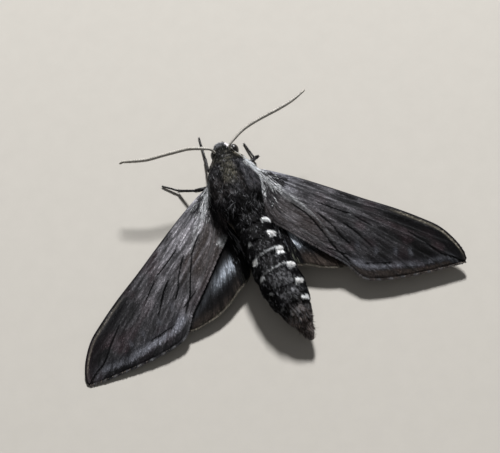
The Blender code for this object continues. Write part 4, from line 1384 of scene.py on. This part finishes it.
def forewing_scales(wing, face, share, settings, random):
    """Vanes of scales over one side of a forewing, with its black dashes on the upper one."""
    count = int(FOREWING_LENGTH * FOREWING_BREADTH * settings.density * share)
    along, across = forewing_spots(count, random, settings)
    root, normal, flow = forewing_frame(wing, along, across, face, settings)
    places = forewing_map(along, across)
    if face < 0:
        colours = under_pattern(along, across, UNDER_SEEDS["fore"])
        return vane_tufts(root, normal, flow, colours, places, settings, random)
    colours = forewing_pattern(along, across, wing)
    tufts = vane_tufts(root, normal, flow, colours, places, settings, random)
    return together([tufts, dash_tufts(wing, settings, random)])


def hindwing_scales(wing, face, share, settings, random):
    """Vanes of scales over one side of a hindwing."""
    count = int(math.pi * HINDWING_REACH ** 2 * HINDWING_FAN / 360 * settings.density * share)
    angle, radius = hindwing_spots(count, random, settings)
    root, normal, flow = hindwing_frame(wing, angle, radius, face, settings)
    outward, rearward = radius * np.sin(np.radians(angle)), radius * np.cos(np.radians(angle))
    if face > 0:
        colours = hindwing_pattern(outward, rearward, wing)
    else:
        colours = under_pattern(radius, angle / 3, UNDER_SEEDS["hind"])
    places = np.column_stack([0.04 + 0.9 * (outward + 1) / 25, 0.04 + 0.9 * rearward / 29])
    return vane_tufts(root, normal, flow, colours, places, settings, random)


def make_wing_scales(settings):
    """Vanes of scales over and under every wing."""
    material = scale_material()
    for name, wing in WINGS.items():
        for face, part, share in SCALE_LAYERS:
            random = np.random.default_rng(100 + 10 * wing["side"] + int(face))
            tufts = forewing_scales(wing, face, share, settings, random)
            grow(f"scales_fore_{name}_{part}", tufts, VANE, material)
            tufts = hindwing_scales(wing, face, share, settings, random)
            grow(f"scales_hind_{name}_{part}", tufts, VANE, material)


def root_fan(wing, settings, random):
    """Fan of long hair, partly pale, that runs out from the shoulder over a forewing's root."""
    count = WING_HAIRS["fan"]
    along = random.uniform(-0.8, 5.2, count)
    front, rear = forewing_edges(along, settings.fringe / MM)
    across = front + (rear - front) * random.uniform(0.16, 0.85, count) ** 1.3
    root, normal, flow = forewing_frame(wing, along, across, 1.0, settings)
    near = bell(across, curve(BASE_STREAK, along), 0.7)
    if wing["side"] < 0:
        inner = bell(across, curve(INNER_STREAK, along), 0.6) * (1 - ramp(along, 1.6, 2.8))
        near = np.maximum(near, inner)
    pale = random.random(count) < 0.05 + 0.9 * near
    tint = np.where(pale[:, None], WHITE * (0.4 if wing["side"] > 0 else 0.55), CHARCOAL * 0.7)
    tint = tint * random.uniform(0.6, 1.15, (count, 1))
    share = np.clip(flow_share(along, across), 0, 1)
    places = np.column_stack([0.05 + 0.6 * along / 8, 0.05 + 0.9 * share])
    tufts = vane_tufts(root, normal, flow, tint, places, settings, random, (1.5, 0.13))
    tufts["lift"] = np.radians(random.uniform(2.0, 7.0, count))
    tufts["flow"] = turned(flow, normal, random.normal(0.0, 9.0, count))
    tufts["droop"] = np.sin(tufts["lift"]) * 0.9
    tufts["bend"] = random.normal(0.0, 0.06, count)
    tufts["flat"] = np.full(count, 0.45)
    return tufts


def forewing_fringe(wing, settings, random):
    """Fringe along a forewing's rear edge, scalloped light and dark."""
    count, fringe = WING_HAIRS["forewing fringe"], settings.fringe / MM
    along = random.uniform(1.5, FOREWING_LENGTH - 0.5, count)
    _front, rear = forewing_edges(along, fringe)
    across = rear - random.uniform(0.0, 0.25, count)
    root, normal, flow = forewing_frame(wing, along, across, 1.0, settings)
    out, back = wing_axes(wing)
    slope = (curve(FOREWING_REAR, along + 0.3) - curve(FOREWING_REAR, along - 0.3)) / 0.6
    outwards = np.column_stack([back - slope[:, None] * out, np.zeros(count)])
    tint = forewing_pattern(along, across, wing) * random.uniform(0.7, 1.5, (count, 1))
    scallop = 0.5 + 0.5 * np.cos(flow_share(along, across) * SCALLOPS)
    tint = tinted(tint, ASH * 0.45, ramp(scallop, 0.6, 0.95) * ramp(along, 24, 28) * 0.5)
    places = np.column_stack([0.02 + 0.95 * along / 48, 0.7 + 0.25 * random.random(count)])
    lie = unit(outwards) + flow * 0.5
    size = (fringe * 0.95, FRINGE_WIDTH)
    tufts = vane_tufts(root, normal, lie, tint, places, settings, random, size)
    tufts["lift"] = np.radians(random.uniform(-4.0, 5.0, count))
    return tufts


def hindwing_fringe(wing, settings, random):
    """Fringe round a hindwing's edge."""
    count, fringe = WING_HAIRS["hindwing fringe"], settings.fringe / MM
    angle = random.uniform(HINDWING_RADII[0][0], HINDWING_RADII[-1][0], count)
    radius = curve(HINDWING_RADII, angle) - fringe - random.uniform(0.0, 0.25, count)
    root, normal, flow = hindwing_frame(wing, angle, radius, 1.0, settings)
    tint = np.tile(BUFF * 0.22, (count, 1)) * random.uniform(0.3, 1.5, (count, 1)) ** 1.5
    places = np.column_stack([0.05 + 0.9 * (angle + 1) / 56, 0.75 + 0.2 * random.random(count)])
    size = (fringe * 0.95, FRINGE_WIDTH)
    return vane_tufts(root, normal, flow, tint, places, settings, random, size)


def inner_edge_hair(wing, settings, random):
    """Long hair along a hindwing's inner edge."""
    count = WING_HAIRS["inner edge"]
    angle = random.uniform(-6.0, 11.0, count)
    edge = curve(HINDWING_RADII, angle)
    radius = edge * random.uniform(0.3, 0.86, count)
    root, normal, flow = hindwing_frame(wing, angle, radius, 1.0, settings)
    fleck = grain(angle * 0.8 + 50, radius / 8 + 3, 71) + random.normal(0.0, 0.05, count)
    pale = fleck > 0.7 + 0.03 * angle
    tint = np.where(pale[:, None], ASH * 0.8, SOOT * 0.4) * random.uniform(0.6, 1.2, (count, 1))
    places = np.column_stack([0.05 + 0.9 * (angle + 1) / 56, 0.05 + 0.6 * radius / 20])
    tufts = vane_tufts(root, normal, flow, tint, places, settings, random, (2.6, 0.12))
    tufts["length"] = np.minimum(tufts["length"], np.maximum(edge - radius, 0.4))
    tufts["lift"] = np.radians(random.uniform(2.0, 9.0, count))
    tufts["droop"] = np.sin(tufts["lift"]) * 0.8
    tufts["flow"] = turned(flow, normal, random.normal(0.0, 6.0, count))
    return tufts


def make_wing_hair(settings):
    """Fans of hair over the forewings' roots, hair along the hindwings' inner edges, and the fringes."""
    material = hair_scale_material()
    for name, wing in WINGS.items():
        random = np.random.default_rng(200 + wing["side"])
        fore = [make(wing, settings, random) for make in (root_fan, forewing_fringe)]
        grow(f"hair_fore_{name}", together(fore), VANE, material)
        hind = [make(wing, settings, random) for make in (hindwing_fringe, inner_edge_hair)]
        grow(f"hair_hind_{name}", together(hind), VANE, material)


# ---------------------------------------------------------------- eyes, feelers and legs

def make_eyes(settings):
    """Domed compound eyes, let into the coat of the head."""
    material = eye_material(settings.eye_colour)
    for name in SIDES:
        mesh = bmesh.new()
        bmesh.ops.create_icosphere(mesh, subdivisions=5, radius=1.0)
        bmesh.ops.scale(mesh, vec=[radius * MM for radius in EYE_RADII], verts=mesh.verts)
        bmesh.ops.rotate(mesh, matrix=Matrix.Rotation(BODY_ROLL, 3, "Y"), verts=mesh.verts)
        low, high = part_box(f"eye_{name}")
        bmesh.ops.translate(mesh, vec=(low + high) / 2, verts=mesh.verts)
        add_piece(f"compound_eye_{name}", to_data(mesh, f"compound_eye_{name}"), material,
                  [f"eye_{name}"])


FEELER_HALF_WIDTH, FEELER_HALF_HEIGHT, FEELER_TIP_HALF = 0.36, 0.42, 0.18
FEELER_TAPER = 0.25           # this part of its length narrows to the tip
FEELER_HAIRS = 34             # on each joint
SCALE_HAIR = (0.3, 0.12)      # length and width of the scales on top
BRISTLE_HAIR = (0.16, 0.035)  # and of the bristles below


def feeler_size(parts):
    """Half width and half height of a feeler's shaft at parts of its length."""
    taper = np.minimum(1.0, (1.0 - parts) / FEELER_TAPER)
    swell = 0.82 + 0.18 * ramp(parts, 0.02, 0.4)
    pinch = (1.0 - 0.25 * bell(parts, 0.1, 0.045)) * swell
    half_width = (FEELER_TIP_HALF + (FEELER_HALF_WIDTH - FEELER_TIP_HALF) * taper) * pinch
    half_height = (FEELER_TIP_HALF + (FEELER_HALF_HEIGHT - FEELER_TIP_HALF) * taper) * pinch
    return half_width, half_height


def feeler_shaft(name, path, settings):
    """The ringed shaft of a feeler as mesh data, pale above and dark below."""
    joints = settings.feeler_joints
    parts = np.sort(np.concatenate([np.arange(joints + 1) / joints, (np.arange(joints) + 0.72) / joints]))
    places, headings = path_points(path, parts)
    half_width, half_height = feeler_size(parts)
    ripple = np.where(np.arange(len(parts)) % 2 == 0, 0.9, 1.06)
    mesh = bmesh.new()
    stations = [(Vector(place), Vector(heading), (0.0, 0.0, 1.0), width, height) for
                place, heading, width, height in zip(places, headings, half_width * ripple,
                                                     half_height * ripple)]
    loft(mesh, stations, 12)
    data = to_data(mesh, f"feeler_{name}")
    points = points_of(data)
    nearest = np.array([np.argmin(((places - point) ** 2).sum(1)) for point in points])
    rise = (points - places[nearest])[:, 2] / half_height[nearest]
    set_points(data, points)
    colours = np.tile(np.array(settings.feeler_under), (len(points), 1))
    colours = tinted(colours, np.array(settings.feeler_top), ramp(rise, -0.35, 0.25))
    ringed = np.where(nearest % 2 == 0, 0.6, 1.0)
    tipwards = 1 - 0.45 * ramp(parts[nearest], 0.75, 1.0)
    set_colours(data, colours * (ringed * tipwards)[:, None])
    return data


def feeler_hairs(path, settings, random):
    """Pale scales that lie flat on top of a feeler, and short bristles that stand out below."""
    count = settings.feeler_joints * FEELER_HAIRS
    part = random.uniform(0.0, 0.985, count)
    spots, forward = path_points(path, part)
    turn = random.uniform(0.0, 2 * math.pi, count)
    width, height = feeler_size(part)
    across = unit(np.cross(forward, np.tile([0.0, 0.0, 1.0], (count, 1))))
    upward = np.cross(across, forward)
    normal = across * np.cos(turn)[:, None] + upward * np.sin(turn)[:, None]
    root = spots + across * (width * np.cos(turn))[:, None] + upward * (height * np.sin(turn))[:, None]
    top = ramp(np.sin(turn), -0.3, 0.3)
    tint = tinted(np.tile(np.array(settings.feeler_under) * 1.3, (count, 1)),
                  np.array(settings.feeler_top) * 1.1, top) * random.uniform(0.65, 1.2, (count, 1))
    lift = np.where(top > 0.5, 8.0, 52.0) * random.uniform(0.7, 1.2, count)
    length, breadth = (np.where(top > 0.5, flat, proud) for flat, proud in zip(SCALE_HAIR, BRISTLE_HAIR))
    return {
        "root": root, "normal": normal, "flow": forward, "lift": np.radians(lift),
        "length": length * random.uniform(0.7, 1.2, count), "width": breadth,
        "flat": np.full(count, 0.3), "sink": np.full(count, 0.01), "droop": np.full(count, 0.1),
        "bend": np.zeros(count), "base": tint * 0.8, "tip": tint,
        "map": np.column_stack([0.05 + 0.9 * part, 0.05 + 0.9 * turn / (2 * math.pi)]),
    }


def make_feelers(settings):
    """Ringed feelers with pale scales above and short bristles below."""
    material = horn_material("feeler of ringed chitin, grown", 0.5)
    hair = hair_scale_material()
    for name, path in FEELER_PATHS.items():
        data = feeler_shaft(name, path, settings)
        add_piece(f"feeler_{name}", data, material, [f"antenna_{name}"])
        random = np.random.default_rng(300 + SIDES[name])
        grow(f"bristles_{name}", feeler_hairs(path, settings, random), VANE, hair)


LEG_PARTS = ("femur", "tibia", "tarsus")
LEG_SCALES = 44               # on each millimetre of a leg
# Radii at the start and the end, and places along with their share of the radius
LEG_RADII = {"femur": (0.5, 0.38), "tibia": (0.3, 0.3), "tarsus": (0.22, 0.18)}
LEG_SHAPES = {
    "femur": ((-0.06, 0.5), (0.04, 0.85), (0.25, 1.05), (0.6, 1.0), (0.9, 0.85), (1.0, 0.8), (1.06, 0.45)),
    "tibia": ((-0.04, 0.5), (0.03, 0.95), (0.12, 0.82), (0.5, 0.9), (0.85, 1.0), (0.98, 1.12), (1.03, 0.6)),
}
TARSUS_JOINTS = (0.0, 0.4, 0.6, 0.76, 0.88, 1.0)
TARSUS_SHAPE = ((0.04, 0.62), (0.3, 0.85), (0.85, 1.1), (0.96, 0.8))


def limb_ends(node, near):
    """The two ends of a leg's length along its own line, the one nearer a place first."""
    points = node_points(node)
    middle = points.mean(0)
    line = np.linalg.svd(points - middle, full_matrices=False)[2][0]
    reach = (points - middle) @ line
    ends = [middle + line * reach.min(), middle + line * reach.max()]
    ends.sort(key=lambda end: np.linalg.norm(end - near))
    return ends


def leg_line(name):
    """Hip, knee, ankle and toe of a leg, from its solids."""
    joints = [np.array((0.0, -6.0, 6.0))]
    for part in LEG_PARTS:
        start, end = limb_ends(f"{name}_{part}", joints[-1])
        if part == "femur":
            joints = [start, end]
        else:
            joints[-1] = (joints[-1] + start) / 2
            joints.append(end)
    return joints


def spike(mesh, start, direction, length, radius):
    """Add a fine closed cone, such as a spur or a claw."""
    direction = Vector(direction).normalized()
    turn = direction.to_track_quat("Z", "Y").to_matrix().to_4x4()
    turn.translation = Vector(start) + direction * length / 2
    bmesh.ops.create_cone(mesh, cap_ends=True, segments=6, radius1=radius, radius2=radius * 0.12,
                          depth=length, matrix=turn)


def leg_radius(part, place):
    """Radius of one length of a leg at a share of the way down it."""
    first, last = LEG_RADII[part]
    return first + (last - first) * place


def leg_shape(part):
    """Places along one length of a leg with their share of its radius; a foot has five joints."""
    if part != "tarsus":
        return LEG_SHAPES[part]
    return [(low + (high - low) * place, share) for low, high in zip(TARSUS_JOINTS, TARSUS_JOINTS[1:])
            for place, share in TARSUS_SHAPE]


def add_spikes(mesh, name, part, start, span, across):
    """Add the spurs of a middle or hind leg's shin, or a foot's two claws."""
    direction = span / np.linalg.norm(span)
    if part == "tibia" and not name.startswith("foreleg"):
        for spot in (0.96, 0.62) if name.startswith("hindleg") else (0.96,):
            for side, size in ((1.0, 1.15), (-1.0, 0.8)):
                lean = direction + across * 0.5 * side - np.array((0.0, 0.0, 0.12))
                spike(mesh, start + span * spot + across * 0.15 * side, lean, size, 0.09)
    if part == "tarsus":
        for side in (1.0, -1.0):
            spike(mesh, start + span * 0.985, direction + across * 0.75 * side, 0.42, 0.06)


def leg_scales(number, part, start, span, across, settings, random):
    """Short scales that lie down one length of a leg."""
    length = np.linalg.norm(span)
    direction = span / length
    count = int(LEG_SCALES * length)
    place, turn = random.uniform(0.0, 0.97, count), random.uniform(0.0, 2 * math.pi, count)
    upward = np.cross(across, direction)
    normal = across * np.cos(turn)[:, None] + upward * np.sin(turn)[:, None]
    root = start + span * place[:, None] + normal * (leg_radius(part, place) * 0.92)[:, None]
    shade = np.array(settings.leg_colour) * random.uniform(0.5, 2.2, (count, 1))
    shade = tinted(shade, ASH * 0.6, (random.random(count) < 0.08) * 0.8)
    return {
        "root": root, "normal": normal, "flow": np.tile(direction, (count, 1)),
        "length": (0.3 + 0.3 * (part == "femur")) * random.uniform(0.7, 1.3, count),
        "width": np.full(count, 0.13), "flat": np.full(count, 0.35), "sink": np.full(count, 0.02),
        "lift": np.radians(random.uniform(6.0, 18.0, count)), "droop": np.full(count, 0.08),
        "bend": random.normal(0.0, 0.08, count), "base": shade * 0.7, "tip": shade,
        "map": np.column_stack([(number + 0.1 + 0.8 * turn / (2 * math.pi)) / 6,
                                (LEG_PARTS.index(part) + 0.1 + 0.8 * place) / 3]),
    }


def make_legs(settings):
    """Six legs with spurs, five-jointed feet, claws and a coat of short scales."""
    material = horn_material("leg of chitin, grown", 0.42)
    coats = []
    random = np.random.default_rng(400)
    for number, name in enumerate(LEG_NAMES):
        joints = leg_line(name)
        mesh = bmesh.new()
        for part, start, end in zip(LEG_PARTS, joints, joints[1:]):
            span = end - start
            stations = [(Vector(start + span * place), span, (0.0, 0.0, 1.0),
                         leg_radius(part, place) * share, leg_radius(part, place) * share)
                        for place, share in leg_shape(part)]
            loft(mesh, stations, 12)
            across = unit(np.cross(span, (0.0, 0.0, 1.0))[None])[0]
            add_spikes(mesh, name, part, start, span, across)
            coats.append(leg_scales(number, part, start, span, across, settings, random))
        data = to_data(mesh, f"leg_{name}")
        points = points_of(data)
        points[:, 2] = np.maximum(points[:, 2], 0.0)
        set_points(data, points)
        set_colours(data, np.tile(np.array(settings.leg_colour) * 0.8, (len(points), 1)))
        add_piece(f"leg_{name}", data, material, [f"{name}_{part}" for part in LEG_PARTS])
    grow("coat_legs", together(coats), SHORT_HAIR, hair_scale_material())


# ---------------------------------------------------------------- stage

CAMERA_ELEVATION = math.radians(68.0)
CAMERA_BEARING = np.array((0.3256, 0.9455))   # from the moth to the camera, over the floor
CAMERA_DISTANCE = 0.3
CAMERA_LENS = 100.5
CAMERA_AIM = (-1.23, -2.70)   # millimetres from the middle of the moth
LIGHT_DISTANCE = 1.25
KEY_ELEVATION = math.radians(38.0)
KEY_SIZE = 0.17
FILL_ELEVATION = math.radians(50.0)
FILL_SIZE = 0.5
SKY_COLOUR = (1.0, 0.99, 0.975)


def aimed(item, place, target):
    """Put a light or camera at a place, facing a target."""
    item.location = place
    item.rotation_euler = (Vector(target) - Vector(place)).to_track_quat("-Z", "Y").to_euler()
    bpy.context.scene.collection.objects.link(item)


def make_stage(settings):
    """Pale floor, soft lights and the camera."""
    mesh = bmesh.new()
    bmesh.ops.create_circle(mesh, cap_ends=True, segments=96, radius=settings.floor_radius)
    floor = bpy.data.objects.new("floor", to_data(mesh, "floor"))
    floor.data.materials.append(floor_material(settings.floor_colour))
    bpy.context.scene.collection.objects.link(floor)

    target = Vector((CAMERA_AIM[0] * MM, CAMERA_AIM[1] * MM, 0.0))
    camera = bpy.data.objects.new("camera", bpy.data.cameras.new("camera"))
    camera.data.lens = CAMERA_LENS
    camera.data.clip_start, camera.data.clip_end = 0.01, 20.0
    flat = CAMERA_BEARING * math.cos(CAMERA_ELEVATION)
    back = Vector((flat[0], flat[1], math.sin(CAMERA_ELEVATION)))
    aimed(camera, target + back * CAMERA_DISTANCE, target)
    bpy.context.scene.camera = camera

    for name, bearing, elevation, power, size in (
            ("key light", -CAMERA_BEARING, KEY_ELEVATION, settings.key_power, KEY_SIZE),
            ("fill light", CAMERA_BEARING, FILL_ELEVATION, settings.fill_power, FILL_SIZE)):
        lamp = bpy.data.objects.new(name, bpy.data.lights.new(name, "AREA"))
        lamp.data.shape = "DISK"
        lamp.data.size = size
        lamp.data.energy = power
        flat = bearing * math.cos(elevation) * LIGHT_DISTANCE
        aimed(lamp, (flat[0], flat[1], math.sin(elevation) * LIGHT_DISTANCE), (0.0, 0.0, 0.0))
    world = bpy.data.worlds.new("soft room")
    world.use_nodes = True
    background = world.node_tree.nodes["Background"]
    background.inputs["Color"].default_value = (*SKY_COLOUR, 1.0)
    background.inputs["Strength"].default_value = settings.sky
    bpy.context.scene.world = world
    bpy.context.scene.view_settings.view_transform = "Standard"


# ---------------------------------------------------------------- operators and panel

class MOTH_OT_skin(bpy.types.Operator):
    """Make one skin over all the flesh"""
    bl_idname = "moth.skin"
    bl_label = "Skin"

    def execute(self, context):
        make_skin(context.scene.moth_coat)
        return {"FINISHED"}


class MOTH_OT_coat(bpy.types.Operator):
    """Grow the coat of head, thorax and abdomen"""
    bl_idname = "moth.coat"
    bl_label = "Body Coat"

    def execute(self, context):
        make_trunk_coat(context.scene.moth_coat)
        return {"FINISHED"}


class MOTH_OT_wings(bpy.types.Operator):
    """Make the membranes of the four wings"""
    bl_idname = "moth.wings"
    bl_label = "Wings"

    def execute(self, context):
        settings = context.scene.moth_wings
        material = membrane_material()
        for name, wing in WINGS.items():
            make_forewing(name, wing, material, settings)
            make_hindwing(name, wing, material, settings)
        return {"FINISHED"}


class MOTH_OT_wing_scales(bpy.types.Operator):
    """Lay vanes of scales over and under the wings"""
    bl_idname = "moth.wing_scales"
    bl_label = "Wing Scales"

    def execute(self, context):
        make_wing_scales(context.scene.moth_wings)
        return {"FINISHED"}


class MOTH_OT_wing_hair(bpy.types.Operator):
    """Grow the wings' hair and fringes"""
    bl_idname = "moth.wing_hair"
    bl_label = "Wing Hair"

    def execute(self, context):
        make_wing_hair(context.scene.moth_wings)
        return {"FINISHED"}


class MOTH_OT_eyes(bpy.types.Operator):
    """Make the compound eyes"""
    bl_idname = "moth.eyes"
    bl_label = "Eyes"

    def execute(self, context):
        make_eyes(context.scene.moth_horn)
        return {"FINISHED"}


class MOTH_OT_feelers(bpy.types.Operator):
    """Make the ringed feelers"""
    bl_idname = "moth.feelers"
    bl_label = "Feelers"

    def execute(self, context):
        make_feelers(context.scene.moth_horn)
        return {"FINISHED"}


class MOTH_OT_legs(bpy.types.Operator):
    """Make the six legs"""
    bl_idname = "moth.legs"
    bl_label = "Legs"

    def execute(self, context):
        make_legs(context.scene.moth_horn)
        return {"FINISHED"}


class MOTH_OT_stage(bpy.types.Operator):
    """Set up floor, lights and camera"""
    bl_idname = "moth.stage"
    bl_label = "Stage"

    def execute(self, context):
        make_stage(context.scene.moth_stage)
        return {"FINISHED"}


OPERATORS = (MOTH_OT_skin, MOTH_OT_coat, MOTH_OT_wings, MOTH_OT_wing_scales, MOTH_OT_wing_hair,
             MOTH_OT_eyes, MOTH_OT_feelers, MOTH_OT_legs, MOTH_OT_stage)
SETTINGS = {"moth_coat": MothCoatSettings, "moth_wings": MothWingSettings, "moth_horn": MothHornSettings,
            "moth_stage": MothStageSettings}


class MOTH_PT_panel(bpy.types.Panel):
    """Sidebar panel with the moth's pieces and settings"""
    bl_idname = "MOTH_PT_panel"
    bl_label = "Hawk Moth"
    bl_space_type = "VIEW_3D"
    bl_region_type = "UI"
    bl_category = "Moth"

    def draw(self, context):
        for operator in OPERATORS:
            self.layout.operator(operator.bl_idname)
        for name, group in SETTINGS.items():
            box = self.layout.box()
            for field in group.__annotations__:
                box.prop(getattr(context.scene, name), field)


def register():
    """Add the settings, operators and panel."""
    for kind in (*SETTINGS.values(), *OPERATORS, MOTH_PT_panel):
        bpy.utils.register_class(kind)
    for name, group in SETTINGS.items():
        setattr(bpy.types.Scene, name, PointerProperty(type=group))


def unregister():
    """Take them away again."""
    for name in SETTINGS:
        delattr(bpy.types.Scene, name)
    for kind in reversed((*SETTINGS.values(), *OPERATORS, MOTH_PT_panel)):
        bpy.utils.unregister_class(kind)


def main():
    """Make the whole moth and its stage."""
    register()
    for operator in OPERATORS:
        group, name = operator.bl_idname.split(".")
        getattr(getattr(bpy.ops, group), name)()


if __name__ == "__main__":
    main()
